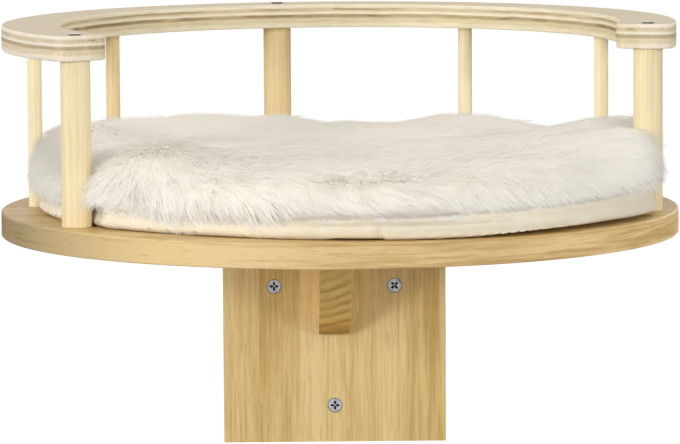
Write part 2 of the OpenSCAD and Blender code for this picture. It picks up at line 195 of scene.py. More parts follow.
class NodeWork:
    """Adds nodes to one tree and joins them, for surfaces and for geometry alike."""

    def __init__(self, tree: bpy.types.NodeTree) -> None:
        """Takes the tree that the nodes go into."""
        self.tree = tree

    def feed(self, socket: Socket, value: Any) -> None:
        """Links a value into a node's input, or sets it there.

        Args:
            socket: The input that takes the value.
            value: What another node gives, or a number, colour, vector or data block.
        """
        if isinstance(value, Wire):
            self.tree.links.new(value.socket, socket)
        else:
            socket.default_value = value

    def add(self, kind: str, inputs: dict[Any, Any] | None = None, **settings: Any) -> bpy.types.Node:
        """Adds one node.

        Args:
            kind: The node's type.
            inputs: Values for its inputs, by name or place.
            **settings: Values for the node's own settings.

        Returns:
            The new node.
        """
        node = self.tree.nodes.new(kind)
        for name, value in settings.items():
            setattr(node, name, value)
        for key, value in (inputs or {}).items():
            self.feed(node.inputs[key], value)
        return node

    def get(self, kind: str, inputs: dict[Any, Any] | None = None, output: Any = 0, **settings: Any) -> Wire:
        """Adds one node and returns one of its outputs, by name or place."""
        return Wire(self, self.add(kind, inputs, **settings).outputs[output])

    def math(self, operation: str, *values: Any) -> Wire:
        """Adds a Math node and returns its value."""
        return self.get("ShaderNodeMath", dict(enumerate(values)), operation=operation)

    def vector(self, operation: str, *values: Any, output: str = "Vector") -> Wire:
        """Adds a Vector Math node and returns its vector or its value."""
        return self.get("ShaderNodeVectorMath", dict(enumerate(values)), output, operation=operation)

    def scaled(self, vector: Any, factor: Any) -> Wire:
        """Returns a vector times a number."""
        return self.get("ShaderNodeVectorMath", {"Vector": vector, "Scale": factor}, operation="SCALE")

    def combine(self, x: Any = 0.0, y: Any = 0.0, z: Any = 0.0) -> Wire:
        """Returns a vector of three numbers."""
        return self.get("ShaderNodeCombineXYZ", {0: x, 1: y, 2: z})

    def separate(self, vector: Wire) -> list[Wire]:
        """Returns a vector's three numbers."""
        return [Wire(self, socket) for socket in self.add("ShaderNodeSeparateXYZ", {0: vector}).outputs]

    def noise(
        self, place: Wire, scale: float, detail: float = 2.0, roughness: float = 0.5, output: str = "Fac"
    ) -> Wire:
        """Returns a noise of so many blots per metre, with finer layers as strong as roughness."""
        inputs = {"Vector": place, "Scale": scale, "Detail": detail, "Roughness": roughness}
        return self.get("ShaderNodeTexNoise", inputs, output)


class SurfaceWork(NodeWork):
    """Builds one procedural material, which reads the piece's own coordinates."""

    def __init__(self, name: str) -> None:
        """Makes an empty material of that name with its output.

        Args:
            name: The material's name.
        """
        self.material = bpy.data.materials.new(name)
        self.material.use_nodes = True
        super().__init__(self.material.node_tree)
        self.tree.nodes.clear()
        self.output = self.add("ShaderNodeOutputMaterial")
        coordinates = self.add("ShaderNodeTexCoord").outputs
        self.place, self.facing = Wire(self, coordinates["Object"]), Wire(self, coordinates["Normal"])

    def ramp(self, value: Wire, stops: Sequence[tuple[float, Tone]]) -> Wire:
        """Colours a value.

        Args:
            value: The number to colour.
            stops: Places from 0 to 1, each with its colour.

        Returns:
            The colour.
        """
        node = self.add("ShaderNodeValToRGB", {"Fac": value})
        points = node.color_ramp.elements
        while len(points) < len(stops):
            points.new(0.5)
        for point, (at, colour) in zip(points, stops):
            point.position, point.color = at, colour
        return Wire(self, node.outputs["Color"])

    def blend(self, share: Any, first: Any, second: Any, mode: str = "MIX") -> Wire:
        """Mixes two colours.

        Args:
            share: How much of the second colour shows.
            first: The colour below.
            second: The colour above.
            mode: The way in which they mix.

        Returns:
            The mixed colour.
        """
        node = self.add("ShaderNodeMix", data_type="RGBA", blend_type=mode)
        for socket, value in zip((node.inputs[0], node.inputs[6], node.inputs[7]), (share, first, second)):
            self.feed(socket, value)
        return Wire(self, node.outputs[2])

    def shaded(self, colour: Any, shade: Wire) -> Wire:
        """Returns a colour times a number."""
        return self.blend(1.0, colour, self.combine(shade, shade, shade), "MULTIPLY")

    def bump(self, height: Wire, depth: float, under: Wire | None = None) -> Wire:
        """Bends the normal, or one that is bent already, by a height of so many metres."""
        below = {} if under is None else {"Normal": under}
        return self.get("ShaderNodeBump", {"Height": height, "Distance": depth, "Strength": 1.0, **below}, "Normal")

    def around(self, centre: Vector, radius: float) -> tuple[Wire, Wire, Wire]:
        """Coordinates round an upright axis.

        Args:
            centre: A point on the axis.
            radius: The radius at which the first coordinate is in metres.

        Returns:
            The way round in metres, the distance from the axis and the height.
        """
        x, y, z = self.separate(self.place - tuple(centre))
        angle = self.math("ARCTAN2", x, y * -1.0)
        return angle * radius, self.combine(x, y).length, z

    def done(self, colour: Any, roughness: Any, normal: Wire | None = None, **plain: Any) -> None:
        """Ends the material in a Principled shader.

        Args:
            colour: The base colour.
            roughness: The roughness.
            normal: The bent normal, if there is one.
            **plain: Plain values for other sockets, with _ for a space.
        """
        shader = self.add("ShaderNodeBsdfPrincipled", {"Base Color": colour, "Roughness": roughness})
        if normal is not None:
            self.feed(shader.inputs["Normal"], normal)
        for name, value in plain.items():
            shader.inputs[name.replace("_", " ")].default_value = value
        self.tree.links.new(shader.outputs[0], self.output.inputs["Surface"])


class Grain(Enum):
    """The way that the wood's grain runs, as the squeeze along each axis."""

    ACROSS = (0.045, 1.0, 1.0)
    UPRIGHT = (1.0, 1.0, 0.045)
    OUTWARD = (1.0, 0.045, 1.0)


@dataclass(frozen=True)
class Finish:
    """One finish of the object, which each kind of surface paints in its own way."""

    name: str

    def paint(self, work: SurfaceWork) -> None:
        """Adds the finish's nodes; each kind of finish has its own."""
        raise NotImplementedError

    def make(self) -> bpy.types.Material:
        """Builds the material.

        Returns:
            The finished material.
        """
        work = SurfaceWork(self.name)
        self.paint(work)
        return work.material


@dataclass(frozen=True)
class OakTones:
    """The colours of one oak face, from its palest to its deepest, and of its pores."""

    pale: Tone
    middle: Tone
    deep: Tone
    pore: Tone


@dataclass(frozen=True)
class OakFinish(Finish):
    """Lacquered oak face with straight grain: soft bands, fine lines and short pores."""

    tones: OakTones
    grain: Grain
    contrast: float = 1.0
    pale_line: tuple[float, float] | None = None

    def figure(self, work: SurfaceWork, flow: Wire) -> tuple[Wire, Wire]:
        """Draws the grain.

        Args:
            work: The material's nodes.
            flow: Coordinates that are squeezed along the grain.

        Returns:
            The colour, and how much of a pore is there.
        """
        swaying = flow + (work.noise(flow, 18, 1, output="Color") - (0.5, 0.5, 0.5)) * 0.014
        bands, streaks = work.noise(swaying, 34, 1), work.noise(swaying, 120, 1)
        mixed = bands * 0.32 + streaks * 0.36 + work.noise(swaying, 520, 2, 0.6) * 0.32
        if self.pale_line is not None:
            at, width = self.pale_line
            mixed = mixed + ((work.place.x - at) / width).bell * 0.05
        tones, spread = self.tones, 0.12 / self.contrast
        colour = work.ramp(mixed, [(0.5 - spread, tones.deep), (0.5, tones.middle), (0.5 + spread, tones.pale)])
        pores = work.noise(flow, 1500, 1, 0.4).between(0.60, 0.72)
        return work.blend(pores * 0.30, colour, tones.pore), pores

    def lacquer(self, work: SurfaceWork, colour: Wire, pores: Wire) -> None:
        """Ends the material in a thin lacquer, which dips and is duller at the pores."""
        dips = work.bump(1.0 - pores, 0.04 * MM)
        work.done(colour, pores.between(0, 1, 0.40, 0.6), dips, Specular_IOR_Level=0.3)

    def paint(self, work: SurfaceWork) -> None:
        """Paints a flat face."""
        self.lacquer(work, *self.figure(work, work.place * self.grain.value))


@dataclass(frozen=True)
class OakBandFinish(OakFinish):
    """The same oak as a band, whose grain runs round the board's edge."""

    centre: Vector = field(default_factory=Vector)
    radius: float = 0.21

    def paint(self, work: SurfaceWork) -> None:
        """Paints the band, with painted shade towards its left end and painted light towards its right end.

        Args:
            work: The material's nodes.
        """
        way, _, height = work.around(self.centre, self.radius)
        colour, pores = self.figure(work, work.combine(way * self.grain.value[0], 0.0, height))
        # painted shade darkens the band towards its left end, and painted light brightens it towards its right end
        end = way.between(-0.25, -0.12, 0.50, 1.0) * way.between(0.10, 0.24, 1.0, 1.3)
        self.lacquer(work, work.shaded(colour, end), pores)


@dataclass(frozen=True)
class PineFinish(Finish):
    """Turned pine: growth rings cut lengthwise, with faint fine lines."""

    pale: Tone
    late: Tone
    pith: Vector
    ring: float

    def paint(self, work: SurfaceWork) -> None:
        """Paints a rod.

        Args:
            work: The material's nodes.
        """
        flow = work.place * Grain.UPRIGHT.value
        x, y, _ = work.separate(work.place - tuple(self.pith))
        away = work.combine(x, y).length + work.noise(flow, 60) * (6 * MM)
        late = work.math("POWER", work.math("FRACT", away / self.ring), 2.0)
        fade = work.noise(work.place, 30, 1).between(0.3, 0.7, 0.1, 0.6)
        rings = work.blend(late * fade, self.pale, self.late)
        lines = work.noise(flow, 1500, 2, 0.6)
        colour = work.shaded(rings, lines.between(0.35, 0.65, 0.94, 1.03))
        work.done(colour, lines.between(0, 1, 0.5, 0.62), work.bump(lines, 0.03 * MM))


@dataclass(frozen=True)
class PlywoodFinish(Finish):
    """Birch plywood: a pale face veneer, and on the edge plies of unlike tone with gaps."""

    centre: Vector
    radius: float
    bottom: float
    thickness: float

    PALE, BUFF, TAN = tone(242, 230, 206), tone(237, 223, 194), tone(224, 207, 172)
    BROWN, SAND, GAP = tone(190, 168, 130), tone(218, 200, 166), tone(132, 102, 60)
    PLIES = (
        (0.0, PALE), (0.20, BUFF), (0.24, TAN), (0.41, TAN), (0.45, BROWN), (0.56, BROWN),
        (0.60, PALE), (0.68, PALE), (0.72, SAND), (0.84, SAND), (0.89, PALE),
    )
    FACE = ((0.3, tone(204, 186, 156)), (0.5, tone(211, 194, 165)), (0.7, tone(217, 201, 173)))

    def edge(self, work: SurfaceWork) -> Wire:
        """Draws the plies on the edge.

        Args:
            work: The material's nodes.

        Returns:
            The edge's colour.
        """
        way, away, height = work.around(self.centre, self.radius)
        wave = work.noise(work.combine(way, away * 0.3), 22, 3, 0.6)
        level = (height - self.bottom) / self.thickness + wave.between(0.2, 0.8, -0.035, 0.035)
        lines = work.noise(work.combine(way * 0.08, away, height), 900, 3, 0.6)
        plies = work.shaded(work.ramp(level, self.PLIES), lines.between(0.3, 0.7, 0.86, 1.06))
        inner = away.between(self.radius - 4 * MM, self.radius, 1.0, 0.0)
        # painted shade: the inner edge darker and warmer; painted light: the outer edge a little lighter
        shade = inner.between(0, 1, 1.04, 0.93)
        plies = work.blend(1.0, plies, work.combine(shade, shade, shade * shade), "MULTIPLY")
        spots = work.noise(work.combine(way * 0.16, away, height), 95, 3, 0.65).between(0.48, 0.60)
        middle = abs(level - 0.51).between(0.02, 0.10, 1.0, 0.0)
        upper = abs(level - 0.80).between(0.01, 0.05, 0.8, 0.0)
        gap = spots * work.math("MAXIMUM", middle, upper) * inner.between(0, 1, 0.3, 0.85)
        return work.blend(gap, plies, self.GAP)

    def paint(self, work: SurfaceWork) -> None:
        """Paints faces and edge.

        Args:
            work: The material's nodes.
        """
        flow = work.place * Grain.ACROSS.value
        speck = work.noise(flow, 1100)
        face = work.ramp(work.noise(flow, 90, 4, 0.6), self.FACE)
        face = work.blend(speck.between(0.56, 0.72, 0.0, 0.35), face, tone(196, 172, 134))
        colour = work.blend(abs(work.facing.z).between(0.85, 0.95), self.edge(work), face)
        work.done(colour, speck.between(0.3, 0.7, 0.5, 0.62), work.bump(speck, 0.04 * MM))


@dataclass(frozen=True)
class BracketFinish(Finish):
    """Clear-lacquered softwood, whose growth rings show slanting on the sawn faces."""

    pith: Vector
    ring: float
    half_width: float
    foot: float

    EARLY = tone(236, 193, 108)
    RINGS = (
        (0.0, EARLY), (0.28, tone(244, 203, 118)), (0.58, tone(226, 181, 93)), (0.76, tone(197, 149, 68)),
        (0.84, tone(192, 144, 64)), (0.93, tone(216, 171, 85)), (1.0, EARLY),
    )
    DARK_FOOT = (0.67, 0.58, 0.42, 1.0)

    def paint(self, work: SurfaceWork) -> None:
        """Paints the rings, faint in places, a darker foot and a painted highlight along the right edge.

        Args:
            work: The material's nodes.
        """
        broad = work.place * (1, 0.25, 1)
        wander = work.noise(broad, 26, 2, 0.4) * (19 * MM) + work.noise(broad, 170, 1) * (1.6 * MM)
        x, _, z = work.separate(work.place - tuple(self.pith))
        turn = work.math("FRACT", (work.combine(x, 0.0, z).length + wander) / self.ring)
        clear = work.noise(broad, 62, 1).between(0.36, 0.62, 0.3, 1.0)
        rings = work.blend(clear, tone(228, 184, 97), work.ramp(turn, self.RINGS))
        lines = work.noise(work.place * Grain.OUTWARD.value, 1100, 3, 0.6)
        colour = work.shaded(rings, lines.between(0.3, 0.7, 0.9, 1.06))
        # darker towards the bracket's foot, over its lowest 7 to 10 mm
        low = work.place.z.between(self.foot + 7 * MM, self.foot + 10 * MM, 1.0, 0.0)
        colour = work.blend(low, colour, self.DARK_FOOT, "MULTIPLY")
        # painted highlight along the right edge
        edge_highlight = work.place.x.between(self.half_width - 1.1 * MM, self.half_width - 0.3 * MM, 0.0, 0.55)
        colour = work.blend(edge_highlight, colour, tone(240, 208, 142))
        work.done(colour, lines.between(0, 1, 0.36, 0.52), work.bump(lines, 0.04 * MM))


@dataclass(frozen=True)
class MetalFinish(Finish):
    """Bright zinc plating with a little haze, with painted shade down in the recess and a painted shadow ring round
    the rim.
    """

    inward: Vector
    face: Vector
    rim: float

    def paint(self, work: SurfaceWork) -> None:
        """Paints a screw from its head's face inwards.

        Args:
            work: The material's nodes.
        """
        haze, inward = work.noise(work.place, 380), tuple(self.inward)
        off = work.place - tuple(self.face)
        depth = off.dot(inward)
        aside = (off - work.scaled(inward, depth)).length
        # painted shade down in the cross recess
        down = depth.between(0.35 * MM, 1.3 * MM) * aside.between(0.1 * self.rim, 0.2 * self.rim, 0.25, 1.0)
        # painted shadow ring round the head's rim, where it meets its hole
        edge = aside.between(0.84 * self.rim, 0.95 * self.rim, 0.0, 0.8)
        colour = work.ramp(haze, [(0.3, tone(206, 210, 214)), (0.7, tone(232, 234, 236))])
        colour = work.blend(edge, colour, tone(92, 84, 70))
        colour = work.blend(down, colour, tone(40, 42, 44))
        roughness = haze.between(0.3, 0.7, 0.24, 0.36) + down * 0.3
        work.done(colour, roughness, work.bump(haze, 0.05 * MM), Metallic=0.85)


@dataclass(frozen=True)
class PlasticFinish(Finish):
    """Moulded plastic with a faint grain."""

    colour: Tone

    def paint(self, work: SurfaceWork) -> None:
        """Paints plugs, tapes and thread.

        Args:
            work: The material's nodes.
        """
        grain = work.noise(work.place, 2600)
        colour = work.shaded(self.colour, work.noise(work.place, 120).between(0.3, 0.7, 0.92, 1.05))
        work.done(colour, grain.between(0, 1, 0.42, 0.58), work.bump(grain, 0.02 * MM))


@dataclass(frozen=True)
class WovenFinish(Finish):
    """Plain woven cloth: crossing threads, slubs and a soft unevenness of tone."""

    colour: Tone
    shade: Tone
    thread: float
    centre: Vector
    radius: float

    def paint(self, work: SurfaceWork) -> None:
        """Paints the weave, which runs round the wall and straight across the flat.

        Args:
            work: The material's nodes.
        """
        way, away, height = work.around(self.centre, self.radius)
        flat = abs(work.facing.z).between(0.6, 0.8)
        along = flat.between(0, 1, way, work.place.x)
        across = flat.between(0, 1, height, work.place.y)
        warp, weft = (abs(work.math("SINE", line * (math.pi / self.thread))) for line in (along, across))
        weave = warp * weft
        slub = work.noise(work.combine(along * 0.12, across, away), 900)
        soft = work.noise(work.place, 55, 3, 0.55) * 0.6 + slub * 0.4
        colour = work.ramp(soft, [(0.34, self.shade), (0.58, self.colour)])
        colour = work.shaded(colour, weave.between(0, 0.5, 0.9, 1.0))
        normal = work.bump(slub, 0.12 * MM, work.bump(weave, 0.08 * MM))
        work.done(colour, 0.85, normal, Sheen_Weight=0.15, Sheen_Roughness=0.5)


@dataclass(frozen=True)
class PileBackFinish(Finish):
    """The knitted back of the plush, dense with the feet of the pile."""

    colour: Tone
    shade: Tone

    def paint(self, work: SurfaceWork) -> None:
        """Paints the back.

        Args:
            work: The material's nodes.
        """
        tufts = work.noise(work.place, 700, 3, 0.6)
        colour = work.ramp(tufts, [(0.3, self.shade), (0.65, self.colour)])
        work.done(colour, 0.9, work.bump(tufts, 0.6 * MM), Sheen_Weight=0.2, Sheen_Roughness=0.6)


@dataclass(frozen=True)
class StrandFinish(Finish):
    """One strand of pile, from foot to tip, in patches of unlike tone and with a warm sheen; the foot's deeper tone
    is painted shade low in the pile.
    """

    foot: Tone
    body: Tone
    tip: Tone

    SHEEN = (1.0, 0.92, 0.76, 1.0)

    def paint(self, work: SurfaceWork) -> None:
        """Paints the strands by the place along each.

        Args:
            work: The material's nodes.
        """
        along = work.get("ShaderNodeUVMap", uv_map="strand").y
        # the foot's deeper tone is painted shade low in the pile
        colour = work.ramp(along, [(0.0, self.foot), (0.35, self.body), (1.0, self.tip)])
        patch = work.noise(work.place, 26, 2, 0.6).between(0.35, 0.65, 0.95, 1.01)
        lock = work.noise(work.place, 300, 1).between(0.3, 0.7, 0.97, 1.01)
        colour = work.shaded(colour, patch * lock)
        work.done(colour, 0.65, Sheen_Weight=0.4, Sheen_Roughness=0.5, Sheen_Tint=self.SHEEN)


@dataclass
class Scene:
    """What every class needs: the frame, and the places that its boxes give."""

    frame: dict[str, Any]

    @property
    def board_centre(self) -> Vector:
        """Middle of the board's top face."""
        low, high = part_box("platform_edge_band")
        return Vector(((low.x + high.x) / 2, (low.y + high.y) / 2, high.z))

    @property
    def board_radius(self) -> float:
        """Radius of the board."""
        low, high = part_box("platform_edge_band")
        return (high.y - low.y) / 2

    @property
    def rod_names(self) -> list[str]:
        """Names of the posts and spindles."""
        return [n for n in self.frame["nodes"] if n.startswith(("post_", "spindle_")) and not n.endswith("screws")]

    def rods(self) -> list[tuple[float, float, float]]:
        """Centre and radius, seen from above, of each post and spindle."""
        boxes = [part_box(name) for name in self.rod_names]
        return [((low.x + high.x) / 2, (low.y + high.y) / 2, (high.y - low.y) / 2) for low, high in boxes]

    def dress(self, finish: Finish, names: Iterable[str]) -> None:
        """Gives CAD nodes a finish.

        Args:
            finish: The finish.
            names: The nodes that get it.
        """
        material = finish.make()
        for name in names:
            slots = self.frame["nodes"][name].data.materials
            slots.clear()
            slots.append(material)
            LOG.info("%s is dressed in %s", name, material.name)


def read(items: Any, label: str, width: int = 1, kind: type = np.float32) -> np.ndarray:
    """Reads one property of all items of a mesh.

    Args:
        items: The collection, such as a mesh's corners.
        label: The property.
        width: How many numbers it has for each item.
        kind: The numbers' type.

    Returns:
        The numbers, in rows if there is more than one for each item.
    """
    flat = np.zeros(len(items) * width, kind)
    items.foreach_get(label, flat)
    return flat.reshape(-1, width) if width > 1 else flat


def write(items: Any, label: str, values: np.ndarray, kind: type = np.float32) -> None:
    """Writes one property of all items of a mesh."""
    items.foreach_set(label, values.astype(kind).ravel())


def link(name: str, data: Any) -> bpy.types.Object:
    """Puts a mesh, curve, lamp or camera into the scene.

    Args:
        name: The object's name.
        data: What it shows.

    Returns:
        The object, which sits at the origin.
    """
    thing = bpy.data.objects.new(name, data)
    bpy.context.scene.collection.objects.link(thing)
    return thing


def mesh_of(name: str, points: np.ndarray, faces: Sequence[Sequence[int]]) -> bpy.types.Mesh:
    """Makes a smooth-shaded mesh.

    Args:
        name: The mesh's name.
        points: Its corners.
        faces: The corners of each face.

    Returns:
        The mesh.
    """
    mesh = bpy.data.meshes.new(name)
    mesh.from_pydata([tuple(p) for p in points], [], [tuple(f) for f in faces])
    mesh.shade_smooth()
    return mesh


def corners_of(mesh: bpy.types.Mesh) -> np.ndarray:
    """Returns a mesh's corners as rows of three numbers."""
    return read(mesh.vertices, "co", 3).astype(float)


def move_corners(mesh: bpy.types.Mesh, points: np.ndarray) -> None:
    """Puts a mesh's corners at new places."""
    write(mesh.vertices, "co", points)
    mesh.update()


def evaluated(piece: bpy.types.Object, name: str) -> bpy.types.Mesh:
    """Makes a plain mesh of what an object's modifiers make of it.

    Args:
        piece: The object.
        name: The mesh's name.

    Returns:
        The mesh.
    """
    graph = bpy.context.evaluated_depsgraph_get()
    mesh = bpy.data.meshes.new_from_object(piece.evaluated_get(graph), depsgraph=graph)
    mesh.name = name
    return mesh


def settle(piece: bpy.types.Object) -> None:
    """Applies all of an object's modifiers.

    Args:
        piece: The object.
    """
    mesh = evaluated(piece, piece.data.name)
    piece.modifiers.clear()
    piece.data = mesh


class GeometryWork(NodeWork):
    """Builds one tree of Geometry Nodes with named inputs."""

    def __init__(self, name: str, **inputs: str) -> None:
        """Makes a tree.

        Args:
            name: The tree's name.
            **inputs: Kind of each input after the geometry, such as Float, by its name.
        """
        tree = bpy.data.node_groups.new(name, "GeometryNodeTree")
        for label, kind in (("Geometry", "Geometry"), *inputs.items()):
            tree.interface.new_socket(label, in_out="INPUT", socket_type="NodeSocket" + kind)
        tree.interface.new_socket("Geometry", in_out="OUTPUT", socket_type="NodeSocketGeometry")
        super().__init__(tree)
        sockets = self.add("NodeGroupInput").outputs
        self.source = {label: Wire(self, sockets[label]) for label in ("Geometry", *inputs)}
        self.sink = self.add("NodeGroupOutput").inputs

    def store(self, geometry: Any, kind: str = "FLOAT_VECTOR", **values: Any) -> Wire:
        """Keeps values on each point.

        Args:
            geometry: What carries them.
            kind: Their type.
            **values: The values, by the attribute's name.

        Returns:
            The geometry with the attributes.
        """
        for label, value in values.items():
            inputs = {"Geometry": geometry, "Name": label, "Value": value}
            geometry = self.get("GeometryNodeStoreNamedAttribute", inputs, data_type=kind)
        return geometry

    def stored(self, label: str, kind: str = "FLOAT") -> Wire:
        """Returns a kept value."""
        return self.get("GeometryNodeInputNamedAttribute", {"Name": label}, data_type=kind)

    def random(self, low: Any, high: Any, kind: str = "FLOAT") -> Wire:
        """Picks a random value for each point, with the tree's seed.

        Args:
            low: The lowest value.
            high: The highest value.
            kind: The value's type.

        Returns:
            The value.
        """
        first, last, output = {"FLOAT": (2, 3, 1), "FLOAT_VECTOR": (0, 1, 0)}[kind]
        inputs = {first: low, last: high, "Seed": self.source["Seed"]}
        return self.get("FunctionNodeRandomValue", inputs, output, data_type=kind)

    def end(self, geometry: Any) -> None:
        """Ends the tree in real geometry with the tree's material.

        Args:
            geometry: What the tree gives.
        """
        real = self.get("GeometryNodeRealizeInstances", {"Geometry": geometry})
        inputs = {"Geometry": real, "Material": self.source["Material"]}
        self.feed(self.sink[0], self.get("GeometryNodeSetMaterial", inputs))

    def run(self, carrier: bpy.types.Object, name: str, **values: Any) -> bpy.types.Mesh:
        """Runs the tree on an object.

        Args:
            carrier: The object that the tree reads.
            name: The result's name.
            **values: A value for each named input.

        Returns:
            The result as a plain mesh.
        """
        modifier = carrier.modifiers.new("work", "NODES")
        modifier.node_group = self.tree
        for item in self.tree.interface.items_tree:
            if item.in_out == "INPUT" and item.name in values:
                modifier[item.identifier] = values[item.name]
        mesh = evaluated(carrier, name)
        carrier.modifiers.remove(modifier)
        return mesh


@dataclass(frozen=True)
class Lamp:
    """One soft box that points at the object's middle.

    Its heading is 0 in front and 90 to the right, its lift is above the horizon, both in
    degrees. Its level is how bright a white card is that faces it at the middle.
    """

    name: str
    way: float
    lift: float
    far: float
    size: tuple[float, float]
    level: float

    def hang(self, target: Vector) -> None:
        """Hangs the lamp.

        Args:
            target: What it points at.
        """
        data = bpy.data.lights.new(self.name, "AREA")
        data.shape = "RECTANGLE"
        data.size, data.size_y = self.size
        data.energy = self.level * math.pi**2 * self.far**2
        lamp = link(self.name, data)
        a, e = math.radians(self.way), math.radians(self.lift)
        back = Vector((math.sin(a) * math.cos(e), -math.cos(a) * math.cos(e), math.sin(e)))
        lamp.location = target + back * self.far
        lamp.rotation_mode = "QUATERNION"
        lamp.rotation_quaternion = back.to_track_quat("Z", "Y")


class Studio:
    """Camera, lamps, white surroundings and a pale floor."""

    SPOT = Vector((-0.0611, -3.1265, 0.4001))
    HEADING = math.radians(88.8)
    PITCH = math.radians(6.133)
    ROLL = math.radians(0.363)
    LENS, SENSOR = 249.8, 36.0
    CLIP = (0.1, 100.0)
    LAMPS = (
        Lamp("key", -33, 9.0, 8.0, (1.8, 2.0), 0.42),
        Lamp("fill", 37, 11, 8.0, (1.6, 1.9), 0.25),
        Lamp("left", -86, 16, 6.0, (2.0, 2.4), 0.31),
        Lamp("right", 88, 14, 6.0, (2.0, 2.4), 0.22),
        Lamp("overhead", -8, 78, 3.5, (2.3, 2.3), 0.49),
    )
    GLOW = 0.13
    FLOOR_DEPTH, FLOOR_REACH = 0.8, 40.0
    FLOOR_TONES = ((0.3, (0.51, 0.51, 0.51, 1)), (0.7, (0.53, 0.53, 0.53, 1)))
    FLOOR_LIFT = 0.96
    WHITE = (1, 1, 1, 1)

    def camera(self) -> None:
        """Stands the camera where the photograph was taken from."""
        ahead = Vector((
            math.cos(self.HEADING) * math.cos(self.PITCH),
            math.sin(self.HEADING) * math.cos(self.PITCH),
            -math.sin(self.PITCH),
        ))
        level = Vector((math.sin(self.HEADING), -math.cos(self.HEADING), 0))
        above = level.cross(ahead)
        right = level * math.cos(self.ROLL) - above * math.sin(self.ROLL)
        up = level * math.sin(self.ROLL) + above * math.cos(self.ROLL)
        data = bpy.data.cameras.new("photograph")
        data.lens, data.sensor_width = self.LENS, self.SENSOR
        data.clip_start, data.clip_end = self.CLIP
        camera = link("photograph", data)
        turn = Matrix((right, up, -ahead)).transposed().to_4x4()
        camera.matrix_world = Matrix.Translation(self.SPOT) @ turn
        bpy.context.scene.camera = camera

    def surroundings(self) -> None:
        """Makes everything round the object white to the eye and soft to the object."""
        world = bpy.data.worlds.new("surroundings")
        bpy.context.scene.world = world
        world.use_nodes = True
        work = NodeWork(world.node_tree)
        world.node_tree.nodes.clear()
        path = work.add("ShaderNodeLightPath").outputs
        camera, glossy, through = (Wire(work, path[f"Is {ray} Ray"]) for ray in ("Camera", "Glossy", "Transmission"))
        seen = work.math("MAXIMUM", work.math("MAXIMUM", camera, glossy), through)
        strength = seen.between(0, 1, self.GLOW, 1.0)
        shader = work.get("ShaderNodeBackground", {"Color": self.WHITE, "Strength": strength})
        work.add("ShaderNodeOutputWorld", {"Surface": shader})

    def floor(self) -> None:
        """Lays a pale floor, well below, that keeps the object's shadow."""
        work = SurfaceWork("pale_floor")
        colour = work.ramp(work.noise(work.place, 3), self.FLOOR_TONES)
        plain = work.get("ShaderNodeBsdfDiffuse", {"Color": colour})
        lift = work.get("ShaderNodeLightPath", output="Is Camera Ray") * self.FLOOR_LIFT
        glow = work.get("ShaderNodeEmission", {"Color": self.WHITE, "Strength": lift})
        work.feed(work.output.inputs["Surface"], work.get("ShaderNodeAddShader", {0: plain, 1: glow}))
        signs = ((-1, -1), (1, -1), (1, 1), (-1, 1))
        corners = np.array([(x * self.FLOOR_REACH, y * self.FLOOR_REACH, -self.FLOOR_DEPTH) for x, y in signs])
        floor = link("floor", mesh_of("floor", corners, [(0, 1, 2, 3)]))
        floor.data.materials.append(work.material)
        floor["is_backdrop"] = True

    def build(self, middle: Vector) -> None:
        """Sets up the whole studio.

        Args:
            middle: The object's middle, which the lamps point at.
        """
        self.camera()
        for lamp in self.LAMPS:
            lamp.hang(middle)
        self.surroundings()
        self.floor()
        bpy.context.scene.view_settings.view_transform = "Standard"
        LOG.info("the studio is set")


@dataclass
class Woodwork:
    """The boards, bracket, posts and guard rail, which keep their CAD shapes."""

    scene: Scene

    BOARD_OAK = OakTones(tone(215, 186, 131), tone(203, 171, 112), tone(184, 149, 88), tone(148, 112, 58))
    FACE_OAK = OakTones(tone(238, 210, 152), tone(225, 194, 131), tone(206, 171, 104), tone(156, 120, 62))
    EDGE_OAK = OakTones(tone(231, 202, 146), tone(216, 183, 126), tone(196, 159, 100), tone(160, 120, 62))
    PALE_PINE = tone(254, 239, 198), tone(236, 211, 156)
    FRONT_PINE = tone(245, 228, 184), tone(226, 199, 142)
    DEEP_PINE = tone(243, 217, 165), tone(220, 187, 128)
    DEEP_RODS = ("post_back", "spindle_back_left")
    ROD_PITH = Vector((0.03, -0.13, 0))
    BRACKET_PITH = Vector((-0.014, 0, 0.067))
    PALE_LINE = (-16 * MM, 16 * MM)
    RAIL_RADIUS = 0.19

    def boards(self) -> None:
        """Gives plate, board and band their oak."""
        dress, centre, radius = self.scene.dress, self.scene.board_centre, self.scene.board_radius
        dress(OakFinish("oak_board_face", self.BOARD_OAK, Grain.ACROSS), ["platform"])
        plate = OakFinish("oak_plate_face", self.FACE_OAK, Grain.UPRIGHT, 1.35, self.PALE_LINE)
        dress(plate, ["wall_plate", "wall_plate_edge_bands"])
        band = OakBandFinish("oak_edge_band", self.EDGE_OAK, Grain.ACROSS, 1.9, centre=centre, radius=radius)
        dress(band, ["platform_edge_band"])

    def timbers(self) -> None:
        """Gives the guard rail its plies, and bracket and rods their softwood."""
        dress, centre = self.scene.dress, self.scene.board_centre
        low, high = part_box("guard_rail")
        axis = Vector((centre.x, centre.y, 0))
        dress(PlywoodFinish("birch_plywood", axis, self.RAIL_RADIUS, low.z, high.z - low.z), ["guard_rail"])
        low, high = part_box("support_bracket")
        dress(BracketFinish("bracket_timber", self.BRACKET_PITH, 8.2 * MM, high.x, low.z), ["support_bracket"])
        rods = [rod for rod in self.scene.rod_names if rod not in self.DEEP_RODS]
        for name, tones, ring, chosen in (
            ("pale_pine", self.PALE_PINE, 2.3 * MM, [rod for rod in rods if rod.startswith("spindle_")]),
            ("front_pine", self.FRONT_PINE, 2.3 * MM, [rod for rod in rods if rod.startswith("post_front")]),
            ("deep_pine", self.DEEP_PINE, 2.6 * MM, self.DEEP_RODS),
        ):
            dress(PineFinish(name, *tones, self.ROD_PITH, ring), chosen)

    def build(self) -> None:
        """Gives every wooden node its finish."""
        self.boards()
        self.timbers()


